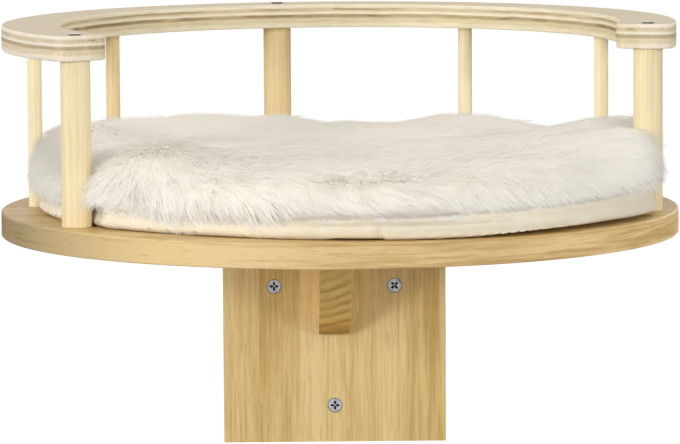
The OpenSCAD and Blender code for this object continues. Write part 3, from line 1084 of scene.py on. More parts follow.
@dataclass
class Fasteners:
    """The screws and plugs, which keep their CAD shapes."""

    scene: Scene

    HEADS = {
        "wall_screw": (0, 1, 0), "rail_screw": (0, 0, -1), "post_base": (0, 0, 1),
        "platform_bracket": (0, 0, -1), "platform_plate": (0, 0, -1), "plate_bracket": (0, -1, 0),
    }
    GREY = tone(160, 162, 164)

    def metal(self, name: str, inward: Vector) -> MetalFinish:
        """Fits the zinc to one node.

        Args:
            name: The node.
            inward: The way from the head to the tip.

        Returns:
            Its finish, which paints shade into a single screw's recess and round its rim.
        """
        low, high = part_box(name)
        half = (high - low) / 2
        face = (low + high) / 2 - Vector(a * b for a, b in zip(inward, half))
        single = not name.endswith("screws")
        rim = min(h for h, along in zip(half, inward) if not along) if single else 1.0
        return MetalFinish("zinc_" + name, inward, face, rim)

    def build(self) -> None:
        """Gives every screw and plug its finish."""
        names = self.scene.frame["nodes"]
        for prefix, inward in self.HEADS.items():
            for name in (n for n in names if n.startswith(prefix) and "screw" in n):
                self.scene.dress(self.metal(name, Vector(inward)), [name])
        self.scene.dress(PlasticFinish("plug_plastic", self.GREY), [n for n in names if n.startswith("wall_plug")])


@dataclass
class Tapes:
    """The hook strips on the board and the loop strips under the cushion."""

    scene: Scene
    pitch: float = 1.5 * MM
    density: float = 9.0e5
    seed: int = 3
    height: float = 0.9 * MM
    wire: float = 0.11 * MM
    corner: float = 3 * MM

    PLAN = (("hook_strips", "frame", 1.0, tone(70, 68, 66)), ("loop_strips", "cushion", -1.0, tone(92, 90, 86)))

    def slab(self, low: Vector, high: Vector) -> bpy.types.Mesh:
        """Makes a tape with rounded corners.

        Args:
            low: Its lowest corner.
            high: Its highest corner.

        Returns:
            The closed mesh.
        """
        ring = []
        for x, y, start in ((high.x, high.y, 0), (low.x, high.y, 90), (low.x, low.y, 180), (high.x, low.y, 270)):
            cx = x - math.copysign(self.corner, x - (low.x + high.x) / 2)
            cy = y - math.copysign(self.corner, y - (low.y + high.y) / 2)
            for turn in range(start, start + 91, 18):
                a = math.radians(turn)
                ring.append((cx + self.corner * math.cos(a), cy + self.corner * math.sin(a)))
        count = len(ring)
        points = np.array([(x, y, z) for z in (low.z, high.z) for x, y in ring])
        faces = [list(range(count))[::-1], list(range(count, 2 * count))]
        faces += [(i, (i + 1) % count, count + (i + 1) % count, count + i) for i in range(count)]
        return mesh_of("slab", points, faces)

    def hook(self) -> bpy.types.Object:
        """Makes one bent hook, or one loop, of a three-sided wire.

        Returns:
            The hook, at the origin.
        """
        rise = self.height
        turns = np.linspace(0, math.radians(250), 8)
        path = [(0, 0)] + [(0.32 * rise * (1 - math.cos(a)), 0.6 * rise + 0.36 * rise * math.sin(a)) for a in turns]
        sides = [side * math.tau / 3 for side in range(3)]
        points = [(x + self.wire * math.cos(a), self.wire * math.sin(a), z) for x, z in path for a in sides]
        faces: list[tuple[int, ...]] = []
        for start in range(0, 3 * (len(path) - 1), 3):
            for here, there in ((start, start + 1), (start + 1, start + 2), (start + 2, start)):
                faces.append((here, there, there + 3, here + 3))
        last = len(points) - 3
        faces += [(2, 1, 0), (last, last + 1, last + 2)]
        return link("hook_shape", mesh_of("hook_shape", np.array(points), faces))

    def rows(self) -> GeometryWork:
        """Builds the tree that stands hooks on a tape's face.

        Returns:
            The tree.
        """
        work = GeometryWork(
            "hook_rows", Density="Float", Spacing="Float", Hook="Object", Seed="Int", Up="Float", Material="Material"
        )
        source = work.source
        facing = work.math("GREATER_THAN", work.get("GeometryNodeInputNormal").z * source["Up"], 0.9)
        points = work.get("GeometryNodeDistributePointsOnFaces", {
            "Mesh": source["Geometry"], "Selection": facing, "Distance Min": source["Spacing"],
            "Density Max": source["Density"], "Seed": source["Seed"],
        }, "Points", distribute_method="POISSON")
        tilt = work.combine(source["Up"].between(-1, 1, math.pi, 0.0), 0.0, work.random(0.0, math.tau))
        hook = work.get("GeometryNodeObjectInfo", {"Object": source["Hook"]}, "Geometry")
        inputs = {"Points": points, "Instance": hook, "Rotation": tilt}
        standing = work.get("GeometryNodeInstanceOnPoints", inputs)
        joined = work.add("GeometryNodeJoinGeometry")
        for part in (standing, source["Geometry"]):
            work.feed(joined.inputs[0], part)
        work.end(Wire(work, joined.outputs[0]))
        return work

    def carrier(self, node: str, up: float) -> bpy.types.Object:
        """Makes both tapes of one node, which the hooks stand on.

        Args:
            node: The CAD node that they stand for.
            up: 1 where the hooks stand up, -1 where they hang down.

        Returns:
            The two tapes as one object.
        """
        low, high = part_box(node)
        corners = corners_of(self.scene.frame["nodes"][node].data)
        split = (low.y + high.y) / 2
        join = bmesh.new()
        for side in (corners[corners[:, 1] < split], corners[corners[:, 1] >= split]):
            inner, outer = Vector(side.min(0)), Vector(side.max(0))
            (outer if up > 0 else inner).z -= up * self.height * 0.5
            join.from_mesh(self.slab(inner, outer))
        tapes = link(node + "_work", bpy.data.meshes.new(node))
        join.to_mesh(tapes.data)
        join.free()
        return tapes

    def build(self) -> None:
        """Builds the four tapes as two pieces, one for each body."""
        tree, hook = self.rows(), self.hook()
        for node, body, up, colour in self.PLAN:
            carrier = self.carrier(node, up)
            material = PlasticFinish(node + "_nylon", colour).make()
            values = {"Density": self.density, "Spacing": self.pitch, "Hook": hook, "Seed": self.seed}
            mesh = tree.run(carrier, node + "_tape", Up=up, Material=material, **values)
            bpy.data.objects.remove(carrier)
            piece = link(node + "_tape", mesh)
            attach(piece, body)
            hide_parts(node)
            LOG.info("%s has %d faces", piece.name, len(mesh.polygons))
        bpy.data.objects.remove(hook)


def turned(heading: np.ndarray, at: float) -> np.ndarray:
    """Returns the shortest turn from one heading to others, in radians."""
    return np.angle(np.exp(1j * (heading - at)))


@dataclass
class Cushion:
    """The loose pad: a cotton base, a plush top with its pile, stitches and a filling.

    Plans by heading go round the board's centre in degrees: 0 is right and -90 in front.
    """

    scene: Scene
    mean_edge: float = 190 * MM
    edge_plan: tuple[tuple[float, float], ...] = (
        (-180, -3), (-160, -3), (-141, -2), (-133, -3), (-122, -5), (-109, -1), (-91, 5), (-75, 14), (-61, 15),
        (-47, 12), (-32, 12), (-20, 15), (-8, 4), (4, 6), (20, 4), (48, -1), (80, -2), (119, -2), (160, -2),
    )
    wall_plan: tuple[tuple[float, float], ...] = (
        (0.5, 1.6), (2, 0.3), (4, 0.0), (7, 0.2), (11, 1.0), (15, 0.0), (22, 0.0)
    )
    rim_height: float = 33.5 * MM
    rim_dents: tuple[tuple[float, float, float], ...] = (
        (133, -2, 14), (37, -6.5, 12), (62, 1.5, 12), (31, -7.5, 10), (15, -4, 11), (90, -0.6, 8), (102, 4, 7),
        (176, 4.5, 12), (-25, 8, 10), (76, -3, 9), (42, 3.5, 6), (31, 2.5, 5), (-134, 9, 9), (130, -1, 12),
        (-60, 1, 12),
    )
    rim_waves: tuple[tuple[float, int, float], ...] = (
        (2.7, 1, 78), (5.4, 2, -6), (1.9, 3, 5), (1.2, 5, -3), (1.5, 6, 4),
    )
    middle_height: float = 27 * MM
    ground: float = 0.5 * MM
    seam_height: float = 12 * MM
    seam_slope: float = 0.024
    seam_draw: float = 2.8 * MM
    creases: tuple[tuple[float, float, float], ...] = ((19.7, 3.0, 1.8), (-6, 0.9, 2.5), (64, 0.8, 4))
    rod_gap: float = 0.8 * MM
    slack: float = 4 * MM
    voxel: float = 5 * MM
    core_voxel: float = 7 * MM
    pressure: float = 4.0
    frames: int = 20
    swell_cap: float = 9 * MM
    cloth: float = 1.6 * MM
    sides: int = 240
    front_lift: float = 2.6 * MM
    tufts: tuple[tuple[tuple[float, float, float], tuple[float, float, float], float], ...] = (
        ((-0.140, -0.342, 0.130), (-4.0, -1.6, 0.9), 18 * MM), ((0.182, -0.276, 0.130), (2.6, -0.6, -0.1), 10 * MM),
    )
    crown: tuple[float, float] = (-0.135, -0.215)
    strand_count: int = 104000
    strand_length: float = 19 * MM
    strand_width: float = 0.40 * MM
    seed: int = 11
    steps: int = 4
    shares: int = 6
    guard_share: float = 0.78
    upward: float = 0.88
    fits: int = 3
    thread: float = 0.55 * MM
    wall_radius: float = 0.187

    COTTON = tone(251, 243, 223), tone(244, 233, 208)
    BACK = tone(244, 239, 226), tone(230, 222, 204)
    # foot, body and tip of a strand; the foot's deeper tone is painted shade low in the pile
    STRAND = tone(228, 222, 208), tone(237, 233, 225), tone(237, 234, 227)
    FIBRE = tone(246, 246, 242), tone(226, 226, 220)
    THREAD = tone(246, 236, 214)

    def edge(self, heading: np.ndarray, gap: float) -> np.ndarray:
        """Distance of the pad's free edge from the board's centre.

        Args:
            heading: Where to measure, in radians.
            gap: How far the edge stays from a post or spindle in its way.

        Returns:
            The distance at each heading.
        """
        at, rise = zip(*self.edge_plan)
        near = [np.interp(np.degrees(heading) + step, at, rise, period=360) for step in range(-9, 10, 3)]
        found = self.mean_edge + MM * np.mean(near, axis=0)
        centre = self.scene.board_centre
        for x, y, radius in self.scene.rods():
            far, way = math.hypot(x - centre.x, y - centre.y), math.atan2(y - centre.y, x - centre.x)
            off = np.abs(turned(heading, way))
            aside = far * np.sin(off)
            reach = np.sqrt(np.maximum((radius + gap) ** 2 - aside**2, 0))
            wide = np.maximum(aside - (radius + gap), 0)
            limit = far * np.cos(off) - reach + 4 * wide
            found = np.where(off < 0.3, np.minimum(found, limit), found)
        return found

    def rim(self, heading: np.ndarray) -> np.ndarray:
        """Height of the plush back's rim above the board.

        Args:
            heading: Where to measure, in radians.

        Returns:
            The height at each heading.
        """
        height = self.rim_height + sum(a * MM * np.cos(n * (heading - math.radians(p))) for a, n, p in self.rim_waves)
        for at, rise, spread in self.rim_dents:
            off = np.degrees(turned(heading, math.radians(at)))
            height = height + rise * MM * np.exp(-((off / spread) ** 2))
        return height

    def seam(self, points: np.ndarray) -> np.ndarray:
        """Height above the board of the seam below or above each point."""
        return self.seam_height + self.seam_slope * (points[:, 0] - self.scene.board_centre.x)

    def polar(self, points: np.ndarray) -> tuple[np.ndarray, np.ndarray, np.ndarray]:
        """Heading and distance from the board's centre, and height above the board.

        Args:
            points: The corners to measure.

        Returns:
            The three measures of each corner.
        """
        centre = self.scene.board_centre
        x, y = points[:, 0] - centre.x, points[:, 1] - centre.y
        return np.arctan2(y, x), np.hypot(x, y), points[:, 2] - centre.z

    def outer(self, away: np.ndarray, start: float, end: float) -> np.ndarray:
        """Runs from 0 to 1 between two shares of the pad's radius."""
        return smooth_step(away, start * self.mean_edge, end * self.mean_edge)

    def clear_rods(self, points: np.ndarray, gap: float) -> np.ndarray:
        """Pushes corners out of the posts and spindles.

        Args:
            points: The corners.
            gap: The clearance that they keep.

        Returns:
            The corners, outside every rod.
        """
        moved = points.copy()
        for x, y, radius in self.scene.rods():
            dx, dy = moved[:, 0] - x, moved[:, 1] - y
            away = np.maximum(np.hypot(dx, dy), 1e-6)
            push = np.maximum(radius + gap - away, 0) / away
            moved[:, 0] += dx * push
            moved[:, 1] += dy * push
        return moved

    def remesh(self, piece: bpy.types.Object, voxel: float) -> None:
        """Gives a closed form an even mesh.

        Args:
            piece: The closed form.
            voxel: The size of a face.
        """
        even = piece.modifiers.new("remesh", "REMESH")
        even.mode, even.voxel_size = "VOXEL", voxel
        settle(piece)

    def form(self) -> bpy.types.Object:
        """Makes the slack pad before it swells.

        Returns:
            The closed pad.
        """
        centre = self.scene.board_centre
        heading = np.arange(self.sides) * math.tau / self.sides
        e = self.edge(heading, 2 * MM) - self.slack
        h = self.rim(heading) - self.slack / 2
        middle = self.middle_height - self.slack / 2
        rings = [
            (e * 0.5, self.ground + 0 * e), (e - 14 * MM, self.ground + 0 * e), (e - 5 * MM, 1.2 * MM + 0 * e),
            (e - 1 * MM, 4.5 * MM + 0 * e), (e, 0.34 * h), (e, 0.6 * h), (e - 3 * MM, 0.84 * h),
            (e - 10 * MM, 0.97 * h), (e - 20 * MM, h), (e - 36 * MM, 0.9 * h + 0.1 * middle),
            (e * 0.6, 0.35 * h + 0.65 * middle), (e * 0.3, 0.08 * h + 0.92 * middle),
        ]
        points = [(centre.x, centre.y, centre.z + self.ground)]
        for r, z in rings:
            points += list(zip(centre.x + r * np.cos(heading), centre.y + r * np.sin(heading), centre.z + z))
        points.append((centre.x, centre.y, centre.z + middle))
        faces: list[tuple[int, ...]] = []
        for i in range(self.sides):
            j = (i + 1) % self.sides
            faces.append((0, 1 + j, 1 + i))
            for low in range(1, 1 + (len(rings) - 1) * self.sides, self.sides):
                faces.append((low + i, low + j, low + self.sides + j, low + self.sides + i))
            last = 1 + (len(rings) - 1) * self.sides
            faces.append((last + i, last + j, len(points) - 1))
        pad = link("pad_form", mesh_of("pad_form", self.clear_rods(np.array(points), 3 * MM), faces))
        self.remesh(pad, self.voxel)
        return pad

    def blow(self, pad: bpy.types.Object) -> None:
        """Runs the pad as cloth under pressure, with its underside held.

        Args:
            pad: The slack pad.
        """
        _, away, height = self.polar(corners_of(pad.data))
        held = pad.vertex_groups.new(name="held")
        flat = np.flatnonzero((height < 1.5 * MM) & (away < 0.9 * self.mean_edge))
        held.add([int(i) for i in flat], 1.0, "REPLACE")
        cloth = pad.modifiers.new("cloth", "CLOTH")
        cloth.settings.use_pressure = True
        cloth.settings.uniform_pressure_force = self.pressure
        cloth.settings.effector_weights.gravity = 0.0
        cloth.settings.vertex_group_mass = held.name
        cloth.settings.quality = 6
        cloth.point_cache.frame_start, cloth.point_cache.frame_end = 1, self.frames
        for number in range(1, self.frames + 1):
            bpy.context.scene.frame_set(number)
        settle(pad)
        bpy.context.scene.frame_set(1)
        pad.vertex_groups.clear()

    def swell(self, pad: bpy.types.Object) -> None:
        """Blows the pad up round its filling, nowhere by more than the cap.

        Args:
            pad: The slack pad.
        """
        start = corners_of(pad.data)
        self.blow(pad)
        shift = corners_of(pad.data) - start
        size = np.linalg.norm(shift, axis=1)
        LOG.info("the pad swells by up to %.1f mm", size.max() / MM)
        share = np.minimum(1, self.swell_cap / np.maximum(size, 1e-9))
        move_corners(pad.data, start + shift * share[:, None])

    def fit(self, points: np.ndarray) -> np.ndarray:
        """Brings the pad's wall out, or in, to its planned edge at each heading and height.

        Args:
            points: The pad's corners.

        Returns:
            The fitted corners.
        """
        heading, away, height = self.polar(points)
        turn = (heading / math.tau) % 1
        count = self.sides // 2
        middle = (np.arange(count) + 0.5) / count
        edge = self.edge(middle * math.tau, self.rod_gap)
        rank = np.interp(height / MM, [level for level, _ in self.wall_plan], range(len(self.wall_plan)))
        shift = np.zeros(len(points))
        for number, (level, inset) in enumerate(self.wall_plan):
            near = (np.abs(height - level * MM) < 2 * MM) & (away > 0.75 * self.mean_edge)
            reach = np.zeros(count)
            np.maximum.at(reach, (turn[near] * count).astype(int), away[near])
            reach = np.where(reach > 0, reach, np.maximum(np.roll(reach, 1), np.roll(reach, -1)))
            short = np.clip(edge - inset * MM - reach, -16 * MM, 16 * MM)
            short = sum(np.roll(short, step) for step in (-1, 0, 1)) / 3
            share = np.clip(1 - np.abs(rank - number), 0, 1)
            shift += share * np.interp(turn, middle, short, period=1)
        shift *= self.outer(away, 0.76, 0.9)
        fitted = points.copy()
        fitted[:, 0] += shift * np.cos(heading)
        fitted[:, 1] += shift * np.sin(heading)
        LOG.info("the pad's wall is fitted by %.1f to %.1f mm", shift.min() / MM, shift.max() / MM)
        return fitted

    def floor_under(self, points: np.ndarray, heading: np.ndarray, away: np.ndarray) -> np.ndarray:
        """Finds how low the pad may hang: on the board, over its strips, and a little up in front.

        Args:
            points: The pad's corners.
            heading: Their headings before the seam was drawn in.
            away: Their distances from the board's centre before that.

        Returns:
            The lowest height for each corner.
        """
        ground = self.scene.board_centre.z
        low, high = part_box("loop_strips")
        floor = np.full(len(points), ground + 0.4 * MM)
        off = np.abs(points[:, 0] - (low.x + high.x) / 2) - (high.x - low.x) / 2
        beside = smooth_step(-off, -5 * MM, 0)
        for outer, way in ((low.y, 1), (high.y, -1)):
            into = (points[:, 1] - outer) * way
            over = smooth_step(into, -4 * MM, 3 * MM) * smooth_step(-into, -64 * MM, -60 * MM)
            lip = smooth_step(into, -16 * MM, -12 * MM) * smooth_step(-into, -4 * MM, 0)
            floor += beside * np.maximum((high.z + 0.5 * MM - ground) * over, 1.0 * MM * lip)
        over_edge = away - self.edge(heading, self.rod_gap)
        lifted = np.exp(-(((np.degrees(heading) + 40) / 27) ** 4)) * smooth_step(over_edge, -24 * MM, -12 * MM)
        return floor + self.front_lift * lifted * (1 - beside)

    def shape(self, pad: bpy.types.Object) -> None:
        """Draws in the seam, puckers the cotton and seats the pad on board and strips.

        Args:
            pad: The swollen pad.
        """
        smooth = pad.modifiers.new("smooth", "CORRECTIVE_SMOOTH")
        smooth.iterations, smooth.use_only_smooth = 6, True
        finer = pad.modifiers.new("finer", "SUBSURF")
        finer.levels = finer.render_levels = 1
        settle(pad)
        points = corners_of(pad.data)
        _, away, height = self.polar(points)
        foot = self.outer(away, 0.80, 0.92) * np.clip(1 - height / (11 * MM), 0, 1)
        points[:, 2] -= np.minimum(6.5 * MM * foot, height - 0.4 * MM)
        for _ in range(self.fits):
            points = self.fit(points)
        heading, away, height = self.polar(points)
        side = self.outer(away, 0.8, 0.9)
        over = height - self.seam(points)
        draw = self.seam_draw * np.exp(-((over / (3.0 * MM)) ** 2)) * side
        ripple = np.sin(heading * 61 + 2 * np.sin(heading * 7)) + 0.7 * np.sin(heading * 97 + 1.3)
        draw += 0.35 * MM * ripple * np.exp(-np.abs(over) / (6 * MM)) * (over < 2 * MM) * side
        for at, depth, width in self.creases:
            near = np.exp(-(((points[:, 0] / MM - at) / width) ** 2)) * (points[:, 1] < self.scene.board_centre.y)
            draw += depth * MM * near * side * (over < 3 * MM)
        points[:, 0] -= draw * np.cos(heading)
        points[:, 1] -= draw * np.sin(heading)
        points = self.clear_rods(points, self.rod_gap)
        points[:, 2] = np.maximum(points[:, 2], self.floor_under(points, heading, away))
        move_corners(pad.data, points)

    def half(self, pad: bpy.types.Object, name: str, top: bool) -> bpy.types.Object:
        """Cuts one half of the pad off at its seam.

        Args:
            pad: The shaped pad.
            name: The half's name.
            top: True for the plush top, False for the cotton base.

        Returns:
            The half, as an open skin.
        """
        centre = self.scene.board_centre
        skin = bmesh.new()
        skin.from_mesh(pad.data)
        bmesh.ops.bisect_plane(
            skin, geom=[*skin.verts, *skin.edges, *skin.faces], dist=1e-6,
            plane_co=Vector((centre.x, centre.y, centre.z + self.seam_height)),
            plane_no=Vector((-self.seam_slope, 0, 1)).normalized(), clear_inner=top, clear_outer=not top,
        )
        bmesh.ops.recalc_face_normals(skin, faces=skin.faces)
        mesh = bpy.data.meshes.new(name)
        skin.to_mesh(mesh)
        skin.free()
        mesh.shade_smooth()
        return link(name, mesh)

    def filling(self, pad: bpy.types.Object) -> bpy.types.Object:
        """Makes the filling, a little inside the covers.

        Args:
            pad: The shaped pad.

        Returns:
            The filling.
        """
        core = link("cushion_core", pad.data.copy())
        inset = read(core.data.vertex_normals, "vector", 3) * (self.cloth + 0.8 * MM)
        move_corners(core.data, corners_of(core.data) - inset)
        self.remesh(core, self.core_voxel)
        core.data.shade_smooth()
        return core

    def thicken(self, skin: bpy.types.Object) -> None:
        """Gives an open skin the cloth's thickness, inwards, so that it is closed.

        Args:
            skin: The open skin.
        """
        wall = skin.modifiers.new("wall", "SOLIDIFY")
        wall.thickness, wall.offset, wall.use_rim = self.cloth, -1.0, True
        settle(skin)
        skin.data.shade_smooth()
        skin.data.set_sharp_from_angle(angle=math.radians(50))

    def comb(self, work: GeometryWork, place: Wire, up: Wire, wild: Wire, side: Wire) -> Wire:
        """Works out the way in which each strand lies.

        Away from the crown, outwards near the rim, in slow curls, and down the wall.

        Args:
            work: The tree.
            place: The strand's root.
            up: The way out of the surface there.
            wild: The strand's own random vector.
            side: How far the surface is a wall there.

        Returns:
            The strand's way along the surface.
        """
        x, y, _ = work.separate(place - work.source["Centre"])
        level = work.combine(x, y)
        px, py, _ = work.separate(place - work.combine(*self.crown))
        parting = work.combine(px, py * 0.4)
        turn = (work.noise(place, 11, 1) - 0.5) * 2.2 + (work.noise(place, 55, 1) - 0.5) * 0.9
        turn = turn + wild.x * parting.length.between(0.01, 0.06, 2.4, 0.2)
        combed = parting.unit + level.unit * level.length.between(0.125, 0.185, 0.0, 0.8)
        combed = work.get("ShaderNodeVectorRotate", {"Vector": combed, "Angle": turn}, rotation_type="Z_AXIS")
        fall = work.stored("fall")
        sideways, down = side * fall.between(0, 1, 1.1, 0.4), side * fall.between(0, 1, 0.4, 1.6)
        pull = combed * 1.1 + work.combine(sideways, 0.0, down * -1.0)
        for spot, way, spread in self.tufts:
            pull = pull + work.scaled(way, ((place - spot).length / spread).bell)
        return (pull - up * (pull.dot(up) * 0.9)).unit

    def rooted(self, work: GeometryWork) -> Wire:
        """Scatters the roots over the back, each with what its strand needs.

        Args:
            work: The tree.

        Returns:
            The roots.
        """
        source = work.source
        inputs = {"Mesh": source["Geometry"], "Density": source["Density"], "Seed": source["Seed"]}
        points = work.get("GeometryNodeDistributePointsOnFaces", inputs, "Points")
        place, up = work.get("GeometryNodeInputPosition"), work.stored("up", "FLOAT_VECTOR")
        wild = work.random((-1.0, -1.0, -1.0), (1.0, 1.0, 1.0), "FLOAT_VECTOR")
        side = up.z.between(0.25, 0.9, 1.0, 0.0)
        cell = work.get("ShaderNodeTexVoronoi", {"Vector": place, "Scale": 95.0}, "Position")
        lock = cell - place
        lock = lock - up * lock.dot(up)
        rank = work.random(0.0, 1.0)
        size = source["Length"] * rank.between(0, 1, 0.65, 1.1) * work.stored("long")
        flow = self.comb(work, place, up, wild, side)
        points = work.store(points, root=place, flow=flow, lock=lock, wild=wild)
        lift = work.stored("tufted")
        return work.store(points, "FLOAT", size=size, side=side, hang=work.stored("fall"), rank=rank, lift=lift)

    def pile_tree(self) -> GeometryWork:
        """Builds the tree that grows the pile on the plush back.

        Each strand is a strip that rises, bends over along its flow, gathers with its lock,
        sags on the wall and narrows to its tip.

        Returns:
            The tree.
        """
        work = GeometryWork(
            "plush_pile", Density="Float", Length="Float", Width="Float", Centre="Vector", Seed="Int", Steps="Int",
            Material="Material",
        )
        sizes = {"Size X": 1.0, "Size Y": 1.0, "Vertices X": 3, "Vertices Y": work.source["Steps"]}
        grid = work.get("GeometryNodeInputPosition")
        strip = work.get("GeometryNodeMeshGrid", sizes, "Mesh")
        strip = work.store(strip, "FLOAT", across=grid.x * 2.0, along=grid.y + 0.5)
        grown = work.get("GeometryNodeInstanceOnPoints", {"Points": self.rooted(work), "Instance": strip})
        real = work.get("GeometryNodeRealizeInstances", {"Geometry": grown})
        along, across, long, side, hang = (work.stored(n) for n in ("along", "across", "size", "side", "hang"))
        root, up, flow, lock, wild = (work.stored(n, "FLOAT_VECTOR") for n in ("root", "up", "flow", "lock", "wild"))
        bend = along * along
        stand = wild.dot((0.5, 0.5, 0.0)).between(-1, 1, 0.7, 1.3) * work.stored("lift")
        at = root + up * ((along * 0.56 - bend * 0.36) * stand * long) + flow * (along * 0.9 * long)
        at = at + lock * (bend * hang.between(0, 1, 0.12, 0.36)) + wild * (bend * 0.11 * long)
        at = at + work.combine(0.0, 0.0, bend * long * (side * hang.between(0, 1, -0.10, -0.40)))
        flank = (work.vector("CROSS_PRODUCT", flow, up) + wild * 0.3).unit
        half = along.between(0.2, 1.0, 0.5, 0.09) * work.source["Width"]
        at = at + up * ((1.0 - abs(across)) * half) + flank * (across * half)
        work.end(work.get("GeometryNodeSetPosition", {"Geometry": real, "Position": at}))
        return work

    def pile_plan(self, points: np.ndarray, rising: np.ndarray) -> dict[str, np.ndarray]:
        """Plans the pile at each corner of the plush back.

        Args:
            points: The corners.
            rising: How far the surface faces up at each.

        Returns:
            How far the pile falls over the seam, how long it is as a share of its full
            length, and how far it stands up in a tuft.
        """
        heading, _, height = self.polar(points)
        degrees = np.degrees(heading)
        over = height - self.seam(points)
        near_seam = smooth_step(over, 0.5 * MM, 15 * MM)
        fall = smooth_step(-degrees, 97, 108) * smooth_step(degrees, -137, -125)
        clumps = 0.09 * np.sin(heading * 23 + 1.0) + 0.07 * np.sin(heading * 41 + 2.0)
        long = (0.42 + 0.58 * near_seam) * (1 - fall) + (0.62 + 0.14 * near_seam + clumps) * fall
        left = np.exp(-((np.degrees(turned(heading, math.pi)) / 28) ** 2))
        long *= 1 - left * np.interp(over, (10 * MM, 22 * MM), (0.5, 0.0))
        long *= 1 - 0.4 * np.exp(-(((degrees + 140) / 9) ** 2)) * smooth_step(-over, -16 * MM, -8 * MM)
        right = smooth_step(degrees, -32, -20) * smooth_step(-degrees, -14, -4)
        long *= 1 - 0.5 * right * smooth_step(-over, -30 * MM, -22 * MM)
        long *= 1 - 0.2 * left
        parted = np.hypot(points[:, 0] - self.crown[0], (points[:, 1] - self.crown[1]) * 0.5)
        long = np.where(rising > 0.9, 1.0 - 0.3 * np.exp(-((parted / (35 * MM)) ** 2)), long)
        tufted = np.ones(len(points))
        for spot, _, spread in self.tufts:
            near = near_seam * np.exp(-(np.linalg.norm(points - np.array(spot), axis=1) / spread) ** 2)
            long += 0.3 * near
            tufted += 0.6 * near
        return {"fall": fall, "long": long, "tufted": tufted}

    def grow(self, back: bpy.types.Object, material: bpy.types.Material) -> bpy.types.Mesh:
        """Grows all strands on the plush back.

        Args:
            back: The plush back, still an open skin.
            material: The strands' finish.

        Returns:
            All strands as one mesh.
        """
        mesh = back.data
        normals = read(mesh.vertex_normals, "vector", 3)
        plan = self.pile_plan(corners_of(mesh), normals[:, 2])
        write(mesh.attributes.new("up", "FLOAT_VECTOR", "POINT").data, "vector", normals)
        for label, values in plan.items():
            write(mesh.attributes.new(label, "FLOAT", "POINT").data, "value", values)
        area = sum(face.area for face in mesh.polygons)
        grown = self.pile_tree().run(
            back, "pile", Density=self.strand_count / area, Length=self.strand_length, Width=self.strand_width,
            Centre=self.scene.board_centre, Seed=self.seed, Steps=self.steps, Material=material,
        )
        for label in ("up", *plan):
            mesh.attributes.remove(mesh.attributes[label])
        return grown

    def tuft(
        self, name: str, corners: np.ndarray, faces: np.ndarray, uv: np.ndarray, lean: np.ndarray
    ) -> bpy.types.Object:
        """Makes one piece of pile.

        Args:
            name: Its name.
            corners: Its corners.
            faces: The four corners of each face.
            uv: Place across and along the strand, of each corner.
            lean: The normal of each corner.

        Returns:
            The piece.
        """
        mesh = bpy.data.meshes.new(name)
        mesh.vertices.add(len(corners))
        write(mesh.vertices, "co", corners)
        mesh.loops.add(faces.size)
        write(mesh.loops, "vertex_index", faces, np.int32)
        mesh.polygons.add(len(faces))
        write(mesh.polygons, "loop_start", np.arange(len(faces)) * 4, np.int32)
        mesh.update(calc_edges=True)
        write(mesh.uv_layers.new(name="strand").data, "uv", uv[faces.ravel()])
        mesh.shade_smooth()
        mesh.normals_split_custom_set_from_vertices(lean)
        return link(name, mesh)

    def pile(self, back: bpy.types.Object, material: bpy.types.Material) -> list[bpy.types.Object]:
        """Grows the pile and shares it out over pieces by heading.

        The guard hair, which are the longer strands outside, casts no shadow, so that it
        lets light through to the rest as hair does.

        Args:
            back: The plush back, still an open skin.
            material: The strands' finish.

        Returns:
            The pieces of pile.
        """
        grown = self.grow(back, material)
        corners = self.clear_rods(corners_of(grown), 0.5 * MM)
        along, across, rank = (read(grown.attributes[n].data, "value") for n in ("along", "across", "rank"))
        up = read(grown.attributes["up"].data, "vector", 3)
        lean = self.upward * up + (1 - self.upward) * read(grown.vertex_normals, "vector", 3)
        uv = np.stack([across * 0.5 + 0.5, along], 1)
        grid = read(grown.loops, "vertex_index", kind=np.int32).reshape(-1, 4)[: 2 * (self.steps - 1)]
        bpy.data.meshes.remove(grown)
        floor = self.scene.board_centre.z + 0.5 * MM
        corners[:, 2] = np.maximum(corners[:, 2], floor + 0.3 * MM * (1 - np.abs(across)))
        per_strand = 3 * self.steps
        heading, _, _ = self.polar(corners[::per_strand])
        sector = np.floor((heading / math.tau + 0.5) * self.shares).astype(int) % self.shares
        guard = rank[::per_strand] > 1 - self.guard_share
        made = []
        for number in range(2 * self.shares):
            outer, part = number >= self.shares, number % self.shares
            chosen = np.flatnonzero((sector == part) & (guard == outer))
            rows = (chosen[:, None] * per_strand + np.arange(per_strand)[None]).ravel()
            faces = (grid[None] + (np.arange(len(chosen)) * per_strand)[:, None, None]).reshape(-1, 4)
            name = f"plush_{'guard' if outer else 'pile'}_{part + 1}"
            made.append(self.tuft(name, corners[rows], faces, uv[rows], lean[rows]))
            made[-1].data.materials.append(material)
            made[-1].visible_shadow = not outer
            LOG.info("%s has %d strands", name, len(chosen))
        return made

    def seam_line(self, base: bpy.types.Object) -> bpy.types.Object:
        """Draws a closed line just below the seam and just outside the cotton.

        Args:
            base: The cotton base, still an open skin whose rim is the seam.

        Returns:
            The line.
        """
        skin = bmesh.new()
        skin.from_mesh(base.data)
        start = [v for v in skin.verts if v.is_boundary][0]
        order, last, here = [start.co.copy()], None, start
        while True:
            ahead = [e.other_vert(here) for e in here.link_edges if e.is_boundary]
            following = [v for v in ahead if v is not last][0]
            if following is start:
                break
            last, here = here, following
            order.append(here.co.copy())
        skin.free()
        curve = bpy.data.curves.new("seam_line", "CURVE")
        curve.dimensions = "3D"
        line = curve.splines.new("POLY")
        line.points.add(len(order) - 1)
        line.use_cyclic_u = True
        centre = self.scene.board_centre
        for point, co in zip(line.points, order):
            out = Vector((co.x - centre.x, co.y - centre.y, 0)).normalized()
            point.co = (*(co + out * 0.1 * MM - Vector((0, 0, 2.4 * MM))), 1)
        return link("seam_line", curve)

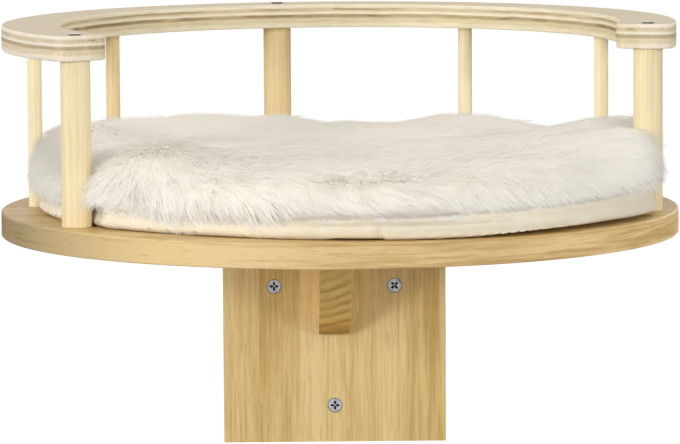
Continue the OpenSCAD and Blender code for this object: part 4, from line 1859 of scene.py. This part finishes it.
    def stitches(self, base: bpy.types.Object, material: bpy.types.Material) -> bpy.types.Object:
        """Sews a row of stitches along the seam.

        Args:
            base: The cotton base, still an open skin.
            material: The thread's finish.

        Returns:
            The row of stitches.
        """
        work = GeometryWork("seam_stitches", Spacing="Float", Stitch="Float", Thread="Float", Material="Material")
        source = work.source
        line = {"Curve": source["Geometry"], "Length": source["Spacing"]}
        points = work.add("GeometryNodeCurveToPoints", line, mode="LENGTH").outputs
        body = work.get("GeometryNodeMeshUVSphere", {"Segments": 6, "Rings": 5, "Radius": 1.0}, "Mesh")
        shape = work.combine(source["Thread"], source["Thread"], source["Stitch"])
        stitch = work.get("GeometryNodeTransform", {"Geometry": body, "Scale": shape})
        places = {label: Wire(work, points[label]) for label in ("Points", "Rotation")}
        work.end(work.get("GeometryNodeInstanceOnPoints", {"Instance": stitch, **places}))
        carrier = self.seam_line(base)
        sizes = {"Spacing": 3.6 * MM, "Stitch": 1.3 * MM, "Thread": 0.3 * MM}
        mesh = work.run(carrier, "seam_stitches", Material=material, **sizes)
        bpy.data.objects.remove(carrier)
        mesh.shade_smooth()
        return link("seam_stitches", mesh)

    def build(self) -> None:
        """Builds the cushion and hands its pieces to the frame."""
        centre = self.scene.board_centre
        cotton = WovenFinish("cream_cotton", *self.COTTON, self.thread, centre, self.wall_radius).make()
        knit = PileBackFinish("plush_back", *self.BACK).make()
        strand = StrandFinish("plush_strand", *self.STRAND).make()
        fibre = PileBackFinish("fibre_filling", *self.FIBRE).make()
        thread = PlasticFinish("seam_thread", self.THREAD).make()
        pad = self.form()
        self.swell(pad)
        self.shape(pad)
        base, top = self.half(pad, "cushion_base", False), self.half(pad, "cushion_top", True)
        core = self.filling(pad)
        bpy.data.objects.remove(pad)
        tufts = self.pile(top, strand)
        sewing = self.stitches(base, thread)
        self.thicken(base)
        self.thicken(top)
        for piece, material, slot, nodes in (
            (base, cotton, "cream_cotton", ["cushion_base_cover"]),
            (top, knit, "white_plush", ["cushion_plush_cover"]),
            (core, fibre, "fibre_filling", ["cushion_filling"]),
            (sewing, thread, "cream_cotton", []),
        ):
            piece.data.materials.clear()
            piece.data.materials.append(material)
            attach(piece, "cushion")
            if nodes:
                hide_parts(*nodes)
            LOG.info("%s has %d faces", piece.name, len(piece.data.polygons))
        for tuft in tufts:
            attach(tuft, "cushion")


def main() -> None:
    """Builds the perch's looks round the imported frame."""
    logging.basicConfig(level=logging.INFO, format="%(message)s")
    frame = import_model()
    cad_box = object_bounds()
    scene = Scene(frame)
    low, high = cad_box
    Studio().build((low + high) / 2)
    Woodwork(scene).build()
    Fasteners(scene).build()
    Tapes(scene).build()
    Cushion(scene).build()


if __name__ == "__main__":
    main()
